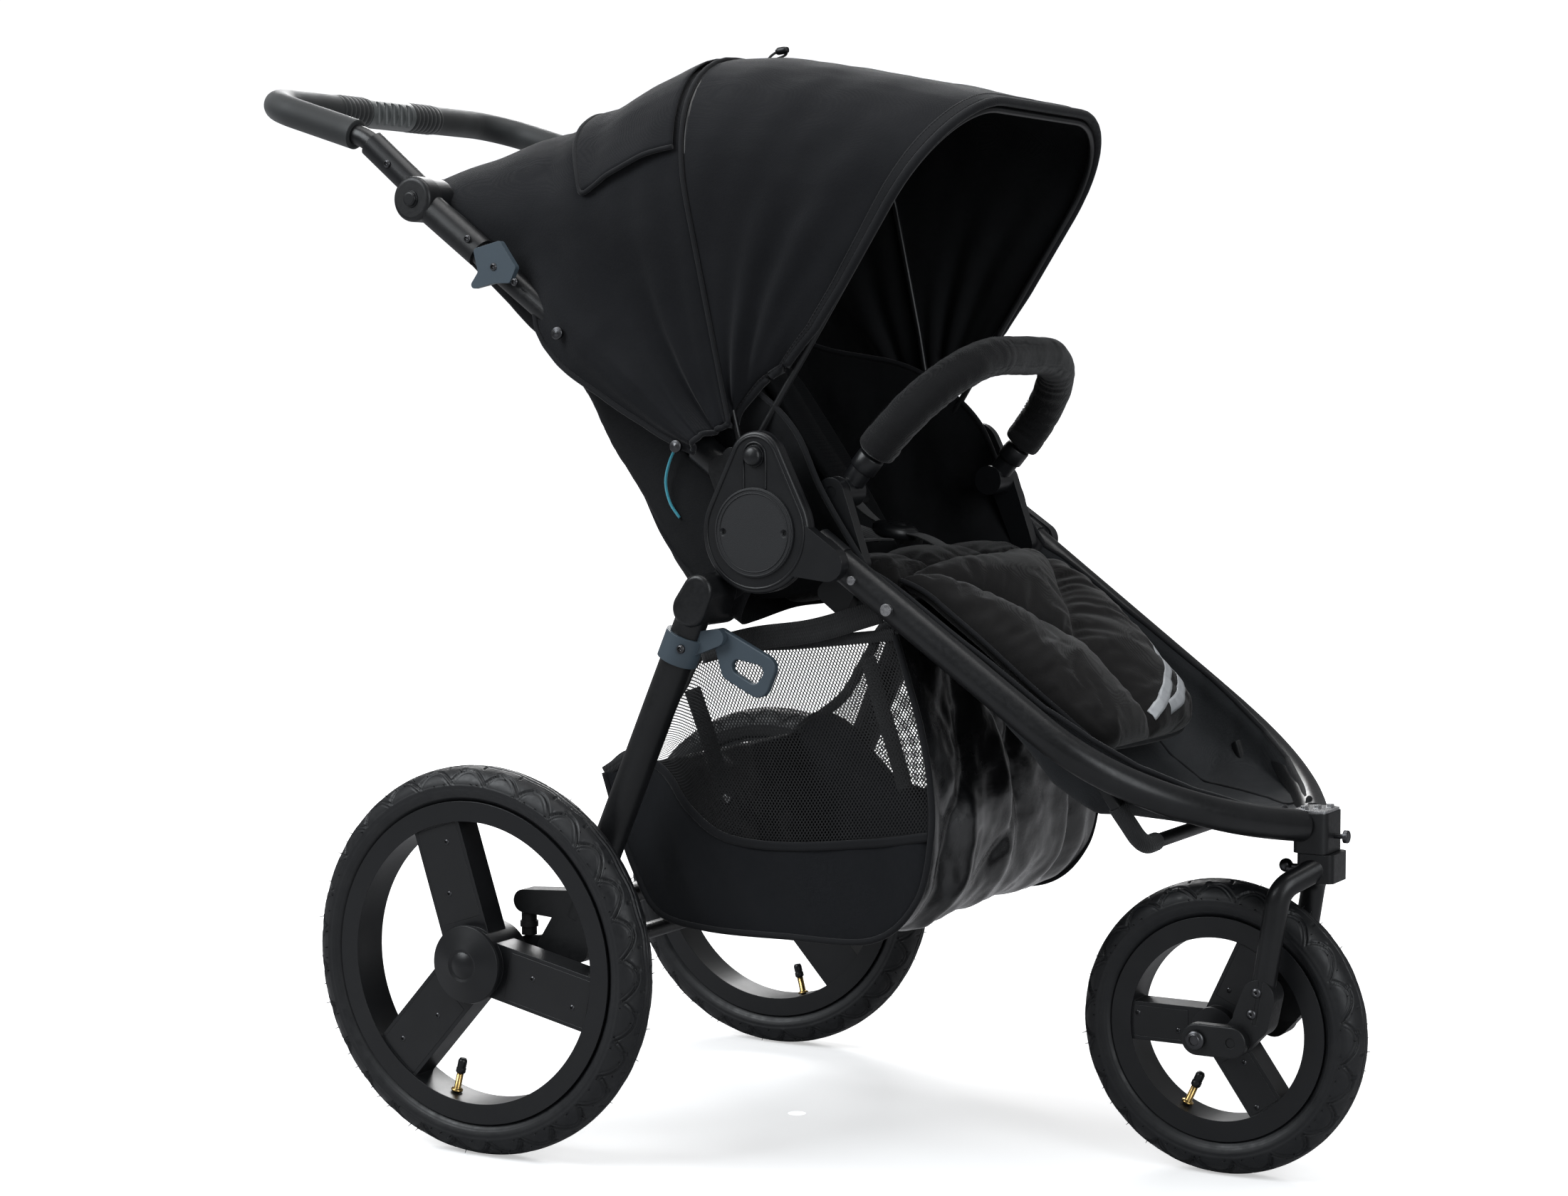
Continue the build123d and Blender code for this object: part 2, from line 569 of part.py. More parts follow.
with BuildPart() as swivel_lock_pin:
    bar((808, 0, LOCK_PIN_Z), (HEAD_FRONT + 10, 0, LOCK_PIN_Z), LOCK_PIN_R)
    bar((HEAD_FRONT + 10, 0, LOCK_PIN_Z), (HEAD_FRONT + 15, 0, LOCK_PIN_Z), 6.5)
    fillet(swivel_lock_pin.faces().sort_by(Axis.X)[-1].edges(), 1.5)
swivel_lock_pin.part.label = "swivel_lock_pin"
export_step(swivel_lock_pin.part, "parts/swivel_lock_pin.step")

with BuildPart() as fork_release_pin:
    bar((766, 0, RELEASE_Z), (786, 0, RELEASE_Z), LOCK_PIN_R)
    with Locations((762, 0, RELEASE_Z)):
        Sphere(7)
fork_release_pin.part.label = "fork_release_pin"
export_step(fork_release_pin.part, "parts/fork_release_pin.step")

FORK_BRACKET = (35.0, 61.9)
LINK_LAYER = (62.0, 73.0)
with BuildPart() as right_fork_bracket:
    plate(FORK_BRACKET, [(757, 196, 17), (750, 172, 19)])
    plate((44.0, FORK_BRACKET[1]), [(750, 170, 17), (LINK_X, LINK_Z, 16)])
    cross_bar(LINK_X, LINK_Z, (FORK_BRACKET[1] - 1, LINK_LAYER[1] - 1), 5)
    add(right_fork_leg.part, mode=Mode.SUBTRACT)
fork_brackets = with_mirror(right_fork_bracket.part)
fork_brackets.part.label = "fork_brackets"
export_step(fork_brackets.part, "parts/fork_brackets.step")

with BuildPart() as right_link:
    plate(LINK_LAYER, [(LINK_X, LINK_Z, 16), (FRONT_X, FRONT_R, 16)])
    fillet(right_link.faces().sort_by(Axis.Y)[0].edges(), 2)
    cross_bar(LINK_X, LINK_Z, (60, 80), 5 + RUN, Mode.SUBTRACT)
    cross_bar(FRONT_X, FRONT_R, (60, 80), AXLE_R + RUN, Mode.SUBTRACT)
front_links = with_mirror(right_link.part)
front_links.part.label = "front_links"
export_step(front_links.part, "parts/front_links.step")

with BuildPart() as right_half_axle:
    cross_bar(FRONT_X, FRONT_R, (0, 74), AXLE_R)
    with BuildSketch(side_plane(LINK_LAYER[1] + GAP)):
        with Locations((FRONT_X, FRONT_R)):
            RegularPolygon(9, 6)
    extrude(amount=5)
front_axle = with_mirror(right_half_axle.part)
front_axle.part.label = "front_axle"
export_step(front_axle.part, "parts/front_axle.step")


# ---------------------------------------------------------------- handle

upper_start = (243.0, -UPPER_Y_HUB, 713.6)
joint_centre = (JOINT_X, -UPPER_Y_JOINT, JOINT_Z)
upper_axis = (Vector(*joint_centre) - Vector(*upper_start)).normalized()


def up_tube(distance):
    """Point on the axis of the right upper tube, measured from its lower end."""
    return tuple(Vector(*upper_start) + upper_axis * distance)


UPPER_LENGTH = 455.0
UPPER_FOOT_R = 16.0      # clears the inner face of the hub plate as the handle turns
LEVER_PIVOT = (-14.0, 919.0)
LEVER_PIN_R = 3.0
with BuildPart() as right_upper:
    bar(upper_start, up_tube(UPPER_LENGTH - 36), UPPER_TUBE_R)
    bar(up_tube(60), up_tube(UPPER_LENGTH - 36), UPPER_TUBE_R - WALL, Mode.SUBTRACT)
    bar(upper_start, up_tube(34), UPPER_FOOT_R)
    plate(UPPER_KNUCKLE, [(HUB_X, HUB_Z, KNUCKLE_R), (250, 712, 15)])
    plate(UPPER_KNUCKLE, [(CANOPY_X, CANOPY_Z, 11), (HUB_X - 14, HUB_Z + 24, 16)])
    cross_bar(CANOPY_X, CANOPY_Z, (202.6, UPPER_KNUCKLE[0] + 1), 4)
    cross_bar(LEVER_PIVOT[0], LEVER_PIVOT[1], (241.5, 252), LEVER_PIN_R)
    cross_bar(HUB_X, HUB_Z, (UPPER_KNUCKLE[0] - 1, UPPER_KNUCKLE[1] + 1), BOLT_R + RUN, Mode.SUBTRACT)
upper_tubes = with_mirror(right_upper.part)
upper_tubes.part.label = "upper_tubes"
export_step(upper_tubes.part, "parts/upper_tubes.step")

JOINT_OUTER = (229.1, 252.0)
JOINT_INNER = (206.0, 228.9)
BARREL_R = 24.0
HANDLE_BUTTON_R = 9.0
JOINT_PIN_R = 5.0
with BuildPart() as right_joint:
    cross_bar(JOINT_X, JOINT_Z, JOINT_OUTER, BARREL_R)
    fillet(right_joint.faces().sort_by(Axis.Y)[0].edges(), 5)
    bar(up_tube(UPPER_LENGTH - 8), up_tube(UPPER_LENGTH - 92), 16.2)
    plate((JOINT_INNER[0] - 8, JOINT_OUTER[0]), [(JOINT_X, JOINT_Z, BARREL_R + 2)], Mode.SUBTRACT)
    cross_bar(JOINT_X, JOINT_Z, (JOINT_INNER[0] - 2, JOINT_OUTER[0] + 2), JOINT_PIN_R)
    bar(up_tube(UPPER_LENGTH - 36), up_tube(UPPER_LENGTH - 95), UPPER_TUBE_R + RUN, Mode.SUBTRACT)
    cross_bar(JOINT_X, JOINT_Z, (238, 253), HANDLE_BUTTON_R + RUN, Mode.SUBTRACT)
joint_housings = with_mirror(right_joint.part)
joint_housings.part.label = "joint_housings"
export_step(joint_housings.part, "parts/joint_housings.step")

with BuildPart() as right_handle_button:
    cross_bar(JOINT_X, JOINT_Z, (242.5, 253.0), HANDLE_BUTTON_R)
    cross_bar(JOINT_X, JOINT_Z, (253.0, 256.0), HANDLE_BUTTON_R - 1.5)
    fillet(right_handle_button.faces().sort_by(Axis.Y)[0].edges(), 2)
right_handle_button.part.label = "handle_button_right"
export_step(right_handle_button.part, "parts/handle_button_right.step")
left_handle_button = mirrored(right_handle_button.part)
left_handle_button.part.label = "handle_button_left"
export_step(left_handle_button.part, "parts/handle_button_left.step")

SOCKET_TIP = (-190.0, -225.0, 1054.0)
HANDLE_BEND = (-196.0, -225.0, 1059.5)
HANDLE_CORNER = (-346.0, -222.0, 1106.0)
with BuildPart() as right_handle_socket:
    cross_bar(JOINT_X, JOINT_Z, JOINT_INNER, BARREL_R - 1)
    bar((JOINT_X, -217, JOINT_Z), SOCKET_TIP, 15)
    plate((JOINT_OUTER[0] - 0.2, 240), [(JOINT_X, JOINT_Z, BARREL_R + 1)], Mode.SUBTRACT)
    bar((-167.9, -225, 1034.7), (-196, -225, 1059.5), HANDLE_R + 4 * RUN, Mode.SUBTRACT)
    cross_bar(JOINT_X, JOINT_Z, (195, 240), JOINT_PIN_R + RUN, Mode.SUBTRACT)
handlebar_sockets = with_mirror(right_handle_socket.part)
handlebar_sockets.part.label = "handlebar_sockets"
export_step(handlebar_sockets.part, "parts/handlebar_sockets.step")

handle_points = [(-168, -225, 1034.8), HANDLE_BEND, HANDLE_CORNER]
handle_points += [(x, -y, z) for x, y, z in reversed(handle_points)]
with BuildPart() as handlebar_tube:
    bent_tube(handle_points, 52, HANDLE_R, HANDLE_R - WALL)
handlebar_tube.part.label = "handlebar_tube"
export_step(handlebar_tube.part, "parts/handlebar_tube.step")

SLEEVE_R = 16.5
CENTRE_HALF = 40.0
with BuildPart() as right_sleeve:
    sleeve_start = (-212.0, -224.7, 1064.5)
    bent_tube([sleeve_start, HANDLE_CORNER, (-346, -CENTRE_HALF - GAP, 1106)], 52, SLEEVE_R,
              HANDLE_R + GAP)
grip_sleeves = with_mirror(right_sleeve.part)
grip_sleeves.part.label = "grip_sleeves"
export_step(grip_sleeves.part, "parts/grip_sleeves.step")

with BuildPart() as centre_grip:
    bar((-346, -CENTRE_HALF, 1106), (-346, CENTRE_HALF, 1106), 17)
    bar((-346, -CENTRE_HALF, 1106), (-346, CENTRE_HALF, 1106), HANDLE_R + GAP, Mode.SUBTRACT)
    with BuildSketch(Plane.XY.offset(1080)):
        with Locations((-330, 0)):
            with GridLocations(0, 14, 1, 5):
                Circle(5)
    extrude(amount=40, mode=Mode.SUBTRACT)
centre_grip.part.label = "centre_grip"
export_step(centre_grip.part, "parts/centre_grip.step")

LEVER = (246.0, 253.0)
with BuildPart() as right_lever:
    with BuildSketch(side_plane(LEVER[0])):
        with BuildLine():
            Polyline((-40, 938), (-6, 946), (14, 918), (6, 902), (-14, 902), (-48, 895), (-34, 914),
                     close=True)
        make_face()
        fillet(vertices(), 4)
    extrude(amount=LEVER[1] - LEVER[0])
    cross_bar(LEVER_PIVOT[0], LEVER_PIVOT[1], (LEVER[0] - 1, LEVER[1] + 1), LEVER_PIN_R + RUN, Mode.SUBTRACT)
right_lever.part.label = "fold_lever_right"
export_step(right_lever.part, "parts/fold_lever_right.step")
left_lever = mirrored(right_lever.part)
left_lever.part.label = "fold_lever_left"
export_step(left_lever.part, "parts/fold_lever_left.step")


# ---------------------------------------------------------------- canopy

BOW_R = 3.5
# Each bow or edge: angle, half width, reach of its middle, corner radius
FRONT_BOW = (57.0, 205.0, 412.0, 112.0)
MIDDLE_BOW = (102.0, 222.0, 416.0, 150.0)
FRONT_HEM = (57.0, 212.0, 419.0, 117.0)
FRONT_SEAM = (100.0, 228.5, 422.0, 155.0)
REAR_SEAM = (103.0, 229.0, 423.0, 155.0)
REAR_EDGE = (138.0, 227.0, 505.0, 150.0)
CANOPY_START = 28.0
FABRIC_T = 3.0


def bow_plane(angle):
    """Plane of a bow: x points right and y points from the pivot towards the bow's middle."""
    outward = (cos(radians(angle)), 0, sin(radians(angle)))
    return Plane(origin=(CANOPY_X, 0, CANOPY_Z), x_dir=(0, -1, 0), z_dir=Vector(0, -1, 0).cross(Vector(*outward)))


def bow_piece(bow, foot):
    """Round bow from eye to eye, at the foot's distance from the centre plane at its ends."""
    angle, half, reach, corner = bow
    plane = bow_plane(angle)
    corners = [(foot, 8), (half, 130), (half, reach), (-half, reach), (-half, 130), (-foot, 8)]
    points = [tuple(plane.from_local_coords(Vector(x, y, 0))) for x, y in corners]
    with BuildPart() as piece:
        bent_tube(points, corner, BOW_R)
        for side in (-1, 1):
            bar((CANOPY_X, side * (foot - BOW_R), CANOPY_Z), (CANOPY_X, side * (foot + BOW_R), CANOPY_Z), 8.5)
        bar((CANOPY_X, -foot - 9, CANOPY_Z), (CANOPY_X, foot + 9, CANOPY_Z), 4 + RUN, Mode.SUBTRACT)
    return piece


def fabric_piece(start, end):
    """Thin canopy sheet between two outlines."""
    with BuildPart() as sheet:
        for angle, half, reach, corner in (start, end):
            with BuildSketch(bow_plane(angle)):
                with BuildLine():
                    FilletPolyline((half, CANOPY_START), (half, reach), (-half, reach),
                                   (-half, CANOPY_START), radius=corner)
                trace(line_width=FABRIC_T)
        loft(ruled=True)
    return sheet


front_bow = bow_piece(FRONT_BOW, 206.5)
front_bow.part.label = "canopy_front_bow"
export_step(front_bow.part, "parts/canopy_front_bow.step")

middle_bow = bow_piece(MIDDLE_BOW, 214.0)
middle_bow.part.label = "canopy_middle_bow"
export_step(middle_bow.part, "parts/canopy_middle_bow.step")

canopy_front = fabric_piece(FRONT_HEM, FRONT_SEAM)
canopy_front.part.label = "canopy_front"
export_step(canopy_front.part, "parts/canopy_front.step")

canopy_rear = fabric_piece(REAR_SEAM, REAR_EDGE)
canopy_rear.part.label = "canopy_rear"
export_step(canopy_rear.part, "parts/canopy_rear.step")


# ---------------------------------------------------------------- bumper bar

BUMPER_HALF = 168.0
BUMPER_REACH = 177.0
BUMPER_ANGLE = 50.0
BUMPER_BEND = 122.0


def bumper_point(distance, y):
    """Point of the bumper bar's plane at a distance from its pivot."""
    x, z = polar((BUMPER_X, BUMPER_Z), BUMPER_ANGLE, distance)
    return (x, y, z)


with BuildPart() as bumper_tube:
    bent_tube([bumper_point(10, -BUMPER_HALF), bumper_point(BUMPER_REACH, -BUMPER_HALF),
               bumper_point(BUMPER_REACH, BUMPER_HALF), bumper_point(10, BUMPER_HALF)], BUMPER_BEND, 9)
    for side in (-1, 1):
        bar((BUMPER_X, side * 154, BUMPER_Z), (BUMPER_X, side * 185.9, BUMPER_Z), 16)
        bar((BUMPER_X, side * 185, BUMPER_Z), (BUMPER_X, side * 199, BUMPER_Z), 6)
        bar(bumper_point(14, side * BUMPER_HALF), bumper_point(32, side * BUMPER_HALF), 12)
bumper_tube.part.label = "bumper_tube"
export_step(bumper_tube.part, "parts/bumper_tube.step")

with BuildPart() as bumper_pad:
    bent_tube([bumper_point(33, -BUMPER_HALF), bumper_point(BUMPER_REACH, -BUMPER_HALF),
               bumper_point(BUMPER_REACH, BUMPER_HALF), bumper_point(33, BUMPER_HALF)],
              BUMPER_BEND, 19.5, 9 + GAP)
bumper_pad.part.label = "bumper_pad"
export_step(bumper_pad.part, "parts/bumper_pad.step")


# ---------------------------------------------------------------- soft goods

SEAT_HALF = 158.0
with BuildPart() as seat_pad:
    with BuildSketch(Plane.XZ.offset(-SEAT_HALF)):
        with BuildLine():
            Polyline((262, 560), (430, 580), (478, 566), (634, 430), (668, 452), (650, 486), (500, 615),
                     (430, 628), (262, 600), close=True)
        make_face()
        fillet(vertices(), 8)
    extrude(amount=2 * SEAT_HALF)
seat_pad.part.label = "seat_pad"
export_step(seat_pad.part, "parts/seat_pad.step")

with BuildPart() as footwell:
    with BuildSketch(Plane.XY.offset(374)):
        with BuildLine():
            Polyline((590, -148), (690, -128), (738, -62), (738, 62), (690, 128), (590, 148), close=True)
        make_face()
        fillet(vertices(), 12)
    extrude(amount=14)
footwell.part.label = "footwell"
export_step(footwell.part, "parts/footwell.step")

BACK_PIVOT = (238.0, 584.0)
BACK_ANGLE = 124.5
BACK_LENGTH = 300.0
BACK_T = 36.0
BACK_HALF = 155.0
back_x, back_z = cos(radians(BACK_ANGLE)), sin(radians(BACK_ANGLE))
with BuildPart() as backrest:
    with BuildSketch(Plane(origin=(BACK_PIVOT[0], 0, BACK_PIVOT[1]), x_dir=(0, -1, 0),
                           z_dir=Vector(0, -1, 0).cross(Vector(back_x, 0, back_z)))):
        with Locations((0, BACK_LENGTH / 2 + 12)):
            RectangleRounded(2 * BACK_HALF, BACK_LENGTH, 40)
    extrude(amount=BACK_T / 2, both=True)
    fillet(backrest.edges().filter_by(Plane.XZ, reverse=True).group_by(Edge.length)[-1], 8)
backrest.part.label = "backrest"
export_step(backrest.part, "parts/backrest.step")

BASKET_HALF = 205.0
BASKET_WALL = 2.5
with BuildPart() as storage_basket:
    with BuildSketch(Plane.XZ.offset(-BASKET_HALF)):
        with BuildLine():
            Polyline((190, 485), (130, 300), (146, 258), (220, 230), (400, 232), (480, 262), (526, 330),
                     (530, 400), (440, 545), close=True)
        make_face()
    extrude(amount=2 * BASKET_HALF)
    mouth = storage_basket.faces().sort_by(Axis.Z)[-1]
    offset(amount=-BASKET_WALL, openings=mouth)
storage_basket.part.label = "storage_basket"
export_step(storage_basket.part, "parts/storage_basket.step")
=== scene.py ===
"""Looks of the three-wheeled jogging stroller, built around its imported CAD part.

Metres, +X forward, +Y to the child's left, +Z up. Hard parts keep their CAD shape and get a
material. Tyres, canopy, seat, footwell, basket and bumper sleeve are built here in mesh code.
"""

import math
import random

import bmesh
import bpy
import numpy as np
from mathutils import Matrix, Vector, noise


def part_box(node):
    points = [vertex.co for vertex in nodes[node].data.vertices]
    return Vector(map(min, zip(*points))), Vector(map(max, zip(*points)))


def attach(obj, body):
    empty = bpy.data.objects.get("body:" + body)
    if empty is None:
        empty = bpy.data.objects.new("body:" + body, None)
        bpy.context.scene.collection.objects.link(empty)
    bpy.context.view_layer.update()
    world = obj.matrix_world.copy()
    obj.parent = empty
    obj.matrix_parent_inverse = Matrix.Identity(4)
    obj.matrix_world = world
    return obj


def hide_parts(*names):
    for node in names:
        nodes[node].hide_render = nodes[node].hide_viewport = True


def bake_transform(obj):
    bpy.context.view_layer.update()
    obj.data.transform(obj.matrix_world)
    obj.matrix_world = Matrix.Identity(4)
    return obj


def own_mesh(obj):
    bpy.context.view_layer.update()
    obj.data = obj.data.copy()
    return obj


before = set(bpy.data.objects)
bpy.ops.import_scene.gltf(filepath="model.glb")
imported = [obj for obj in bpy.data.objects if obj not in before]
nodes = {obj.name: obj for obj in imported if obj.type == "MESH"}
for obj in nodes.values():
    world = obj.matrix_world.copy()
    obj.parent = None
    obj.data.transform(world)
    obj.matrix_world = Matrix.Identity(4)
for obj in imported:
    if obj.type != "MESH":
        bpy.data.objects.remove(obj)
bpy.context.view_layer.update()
MM = 0.001


# ---------------------------------------------------------------- material builder

class Look:
    """One material's node tree. Patterns use object space, so they keep their real size."""

    def __init__(self, name, roughness=0.5, metallic=0.0, **values):
        self.material = bpy.data.materials.new(name)
        self.material.use_nodes = True
        self.tree = self.material.node_tree
        self.shader = self.tree.nodes["Principled BSDF"]
        self.coords = self.add("ShaderNodeTexCoord")
        self.point = self.coords.outputs["Object"]
        self.uv = self.coords.outputs["UV"]
        self.set("Roughness", roughness)
        self.set("Metallic", metallic)
        for key, value in values.items():
            self.set(key.replace("_", " ").title().replace("Ior", "IOR"), value)

    def add(self, kind, inputs=None, **settings):
        """New node; inputs maps its sockets to numbers or to other nodes' outputs."""
        made = self.tree.nodes.new(kind)
        for key, value in settings.items():
            setattr(made, key, value)
        for key, value in (inputs or {}).items():
            self.feed(made.inputs[key], value)
        return made

    def feed(self, socket, value):
        if isinstance(value, bpy.types.NodeSocket):
            self.tree.links.new(value, socket)
        else:
            socket.default_value = value

    def set(self, key, value):
        """Give the shader's socket a number, a colour or another node's output."""
        if isinstance(value, tuple) and len(value) == 3:
            value = (*value, 1.0)
        self.feed(self.shader.inputs[key], value)

    def math(self, operation, a, b=0.0, c=0.0):
        return self.add("ShaderNodeMath", {0: a, 1: b, 2: c}, operation=operation).outputs[0]

    def noise(self, size, detail=2.0, vector=None):
        """Cloudy value from 0 to 1 whose features are about this size in metres."""
        made = self.add("ShaderNodeTexNoise", {"Scale": 1 / size, "Detail": detail})
        self.feed(made.inputs["Vector"], vector or self.point)
        return made.outputs[0]

    def spread(self, value, low, high, out_low=0.0, out_high=1.0):
        """Value rescaled from low..high to out_low..out_high, and held there outside."""
        return self.add("ShaderNodeMapRange", {0: value, 1: low, 2: high, 3: out_low, 4: out_high}).outputs[0]

    def blend(self, share, a, b):
        """Colour between a and b."""
        made = self.add("ShaderNodeMix", {0: share}, data_type="RGBA")
        for socket, colour in ((made.inputs[6], a), (made.inputs[7], b)):
            self.feed(socket, (*colour, 1.0) if isinstance(colour, tuple) else colour)
        return made.outputs[2]

    def wave(self, coordinate, pitch, turn=0.0):
        """Sine of one coordinate, one cycle per pitch."""
        angle = self.math("MULTIPLY_ADD", coordinate, 2 * math.pi / pitch, turn)
        return self.math("SINE", angle)

    def axes(self, vector):
        return self.add("ShaderNodeSeparateXYZ", {0: vector}).outputs

    def weave(self, pitch):
        """Crossing threads, 0 to 1, on whichever side of the piece the surface faces."""
        waves = [self.wave(axis, pitch) for axis in self.axes(self.point)]
        facing = self.axes(self.add("ShaderNodeNewGeometry").outputs["Normal"])
        total = 0.5
        for side in range(3):
            threads = self.math("MULTIPLY", waves[side - 2], waves[side - 1])
            weight = self.math("MULTIPLY", facing[side], facing[side])
            total = self.math("MULTIPLY_ADD", threads, self.math("MULTIPLY", weight, 0.5), total)
        return total

    def bump(self, height, depth, rounding=0.0):
        """Raise the surface by height x depth metres; rounding softens CAD edges by that radius."""
        made = self.add("ShaderNodeBump", {"Height": height, "Distance": depth, "Strength": 1.0})
        if rounding:
            soft = self.add("ShaderNodeBevel", {"Radius": rounding}, samples=4)
            self.feed(made.inputs["Normal"], soft.outputs[0])
        self.set("Normal", made.outputs[0])

    def edge(self, radius):
        """1 along sharp edges and 0 on flat faces."""
        soft = self.add("ShaderNodeBevel", {"Radius": radius}, samples=4).outputs[0]
        flat = self.add("ShaderNodeNewGeometry").outputs["Normal"]
        same = self.add("ShaderNodeVectorMath", {0: soft, 1: flat}, operation="DOT_PRODUCT").outputs["Value"]
        return self.spread(same, 0.995, 0.9)


# ---------------------------------------------------------------- hard materials

def powder_coat(name, colour, roughness):
    """Satin powder coat: orange peel, faint dust clouds, lighter worn edges."""
    look = Look(name, specular_ior_level=0.42)
    dust = look.spread(look.noise(0.06, 4), 0.35, 0.75)
    worn = look.math("MULTIPLY", look.edge(0.0009), look.spread(look.noise(0.012, 3), 0.45, 0.7))
    pale = tuple(c * 2.2 + 0.012 for c in colour)
    base = look.blend(look.math("MULTIPLY", dust, 0.35), colour, pale)
    look.set("Base Color", look.blend(look.math("MULTIPLY", worn, 0.5), base, (0.07, 0.07, 0.072)))
    look.set("Roughness", look.spread(look.noise(0.004, 3), 0.3, 0.7, roughness - 0.05, roughness + 0.06))
    look.bump(look.noise(0.0011, 2), 0.00006, rounding=0.0009)
    return look.material


def moulded(name, colour, roughness, grain=0.0005, depth=0.00005, rounding=0.0008):
    """Moulded plastic: spark-eroded grain, soft edges, slight polish where it is touched."""
    look = Look(name, specular_ior_level=0.45)
    clouds = look.spread(look.noise(0.03, 4), 0.3, 0.75)
    edge = look.edge(0.0007)
    lighter = tuple(c * 1.4 + 0.0028 for c in colour)
    base = look.blend(look.math("MULTIPLY", clouds, 0.4), colour, lighter)
    look.set("Base Color", look.blend(look.math("MULTIPLY", edge, 0.3), base, tuple(c * 2 + 0.02 for c in colour)))
    polish = look.math("MULTIPLY_ADD", edge, -0.12, look.spread(clouds, 0, 1, roughness + 0.05, roughness - 0.04))
    look.set("Roughness", polish)
    look.bump(look.noise(grain, 1), depth, rounding=rounding)
    return look.material


def bare_metal(name, colour, roughness):
    """Turned or plated metal: fine machining streaks, darker grime in patches."""
    look = Look(name, metallic=1.0)
    grime = look.spread(look.noise(0.006, 4), 0.5, 0.8)
    look.set("Base Color", look.blend(look.math("MULTIPLY", grime, 0.5), colour, tuple(c * 0.35 for c in colour)))
    look.set("Roughness", look.spread(grime, 0, 1, roughness, roughness + 0.25))
    streaks = look.math("MULTIPLY", look.wave(look.axes(look.point)[2], 0.0004), 0.5)
    look.bump(look.math("ADD", streaks, look.noise(0.001, 2)), 0.00001, rounding=0.0004)
    return look.material


def tyre_rubber(name):
    """Tyre rubber: dull black, chalky dust in patches, faint moulding texture."""
    look = Look(name, specular_ior_level=0.5)
    chalk = look.spread(look.noise(0.02, 5), 0.4, 0.8)
    look.set("Base Color", look.blend(look.math("MULTIPLY", chalk, 0.4), (0.0068, 0.0074, 0.0088), (0.019, 0.0195, 0.020)))
    look.set("Roughness", look.spread(look.noise(0.008, 3), 0.3, 0.7, 0.38, 0.56))
    look.bump(look.noise(0.0007, 3), 0.00006)
    return look.material


def elastomer(name, colour):
    """Softer rubber of bumpers, inner tubes and stops."""
    look = Look(name, specular_ior_level=0.4)
    look.set("Base Color", look.blend(look.spread(look.noise(0.01, 4), 0.3, 0.7), colour, tuple(c * 1.8 for c in colour)))
    look.set("Roughness", look.spread(look.noise(0.003, 2), 0.3, 0.7, 0.55, 0.75))
    look.bump(look.noise(0.0006, 2), 0.00005, rounding=0.0006)
    return look.material


def closed_foam(name, colour):
    """Dense handlebar foam: fine pores and a soft sheen."""
    look = Look(name, sheen_weight=0.25, sheen_roughness=0.45, specular_ior_level=0.3)
    pores = look.add("ShaderNodeTexVoronoi", {"Vector": look.point, "Scale": 1400.0}).outputs["Distance"]
    handled = look.spread(look.noise(0.05, 3), 0.35, 0.7)
    look.set("Base Color", look.blend(handled, colour, tuple(c * 1.6 for c in colour)))
    look.set("Roughness", look.spread(handled, 0, 1, 0.6, 0.48))
    look.bump(pores, 0.00009)
    return look.material


coat = powder_coat("satin_black_powder_coat", (0.0062, 0.0065, 0.0072), 0.33)
cast = powder_coat("cast_black", (0.0072, 0.0075, 0.0082), 0.4)
wheel_black = moulded("rim_matt_black", (0.0066, 0.0070, 0.0080), 0.35, grain=0.0007)
plate_black = moulded("spoke_plate_black", (0.0086, 0.0089, 0.0098), 0.38, grain=0.0009)
nylon = moulded("black_nylon", (0.0068, 0.0072, 0.0082), 0.33)
disc_nylon = moulded("grained_black_nylon", (0.0125, 0.013, 0.0145), 0.55, grain=0.0009, depth=0.00012)
blue_grey = moulded("blue_grey_nylon", (0.052, 0.072, 0.09), 0.42)
grip_grey = moulded("grey_grip_plastic", (0.105, 0.112, 0.112), 0.3)
steel = bare_metal("plated_steel", (0.56, 0.56, 0.57), 0.24)
def two_tone_bolts(name, border):
    """Fasteners: black screws behind the border plane, plated steel ahead of it."""
    look = Look(name, metallic=1.0)
    ahead = look.spread(look.axes(look.point)[0], border - 0.001, border + 0.001)
    grime = look.spread(look.noise(0.005, 4), 0.45, 0.8)
    plated = look.blend(grime, (0.58, 0.58, 0.59), (0.33, 0.33, 0.34))
    look.set("Base Color", look.blend(ahead, (0.045, 0.045, 0.05), plated))
    look.set("Roughness", look.spread(look.noise(0.002, 3), 0.3, 0.7, 0.2, 0.36))
    look.bump(look.noise(0.0009, 2), 0.00001, rounding=0.0005)
    return look.material


frame_bolts = two_tone_bolts("frame_bolts", 0.396)
dark_steel = bare_metal("black_oxide_steel", (0.10, 0.10, 0.105), 0.3)
brass = bare_metal("brass", (0.62, 0.42, 0.16), 0.25)
rubber = elastomer("black_elastomer", (0.012, 0.012, 0.012))
tread = tyre_rubber("tyre_rubber")
foam = closed_foam("charcoal_foam", (0.020, 0.0215, 0.022))

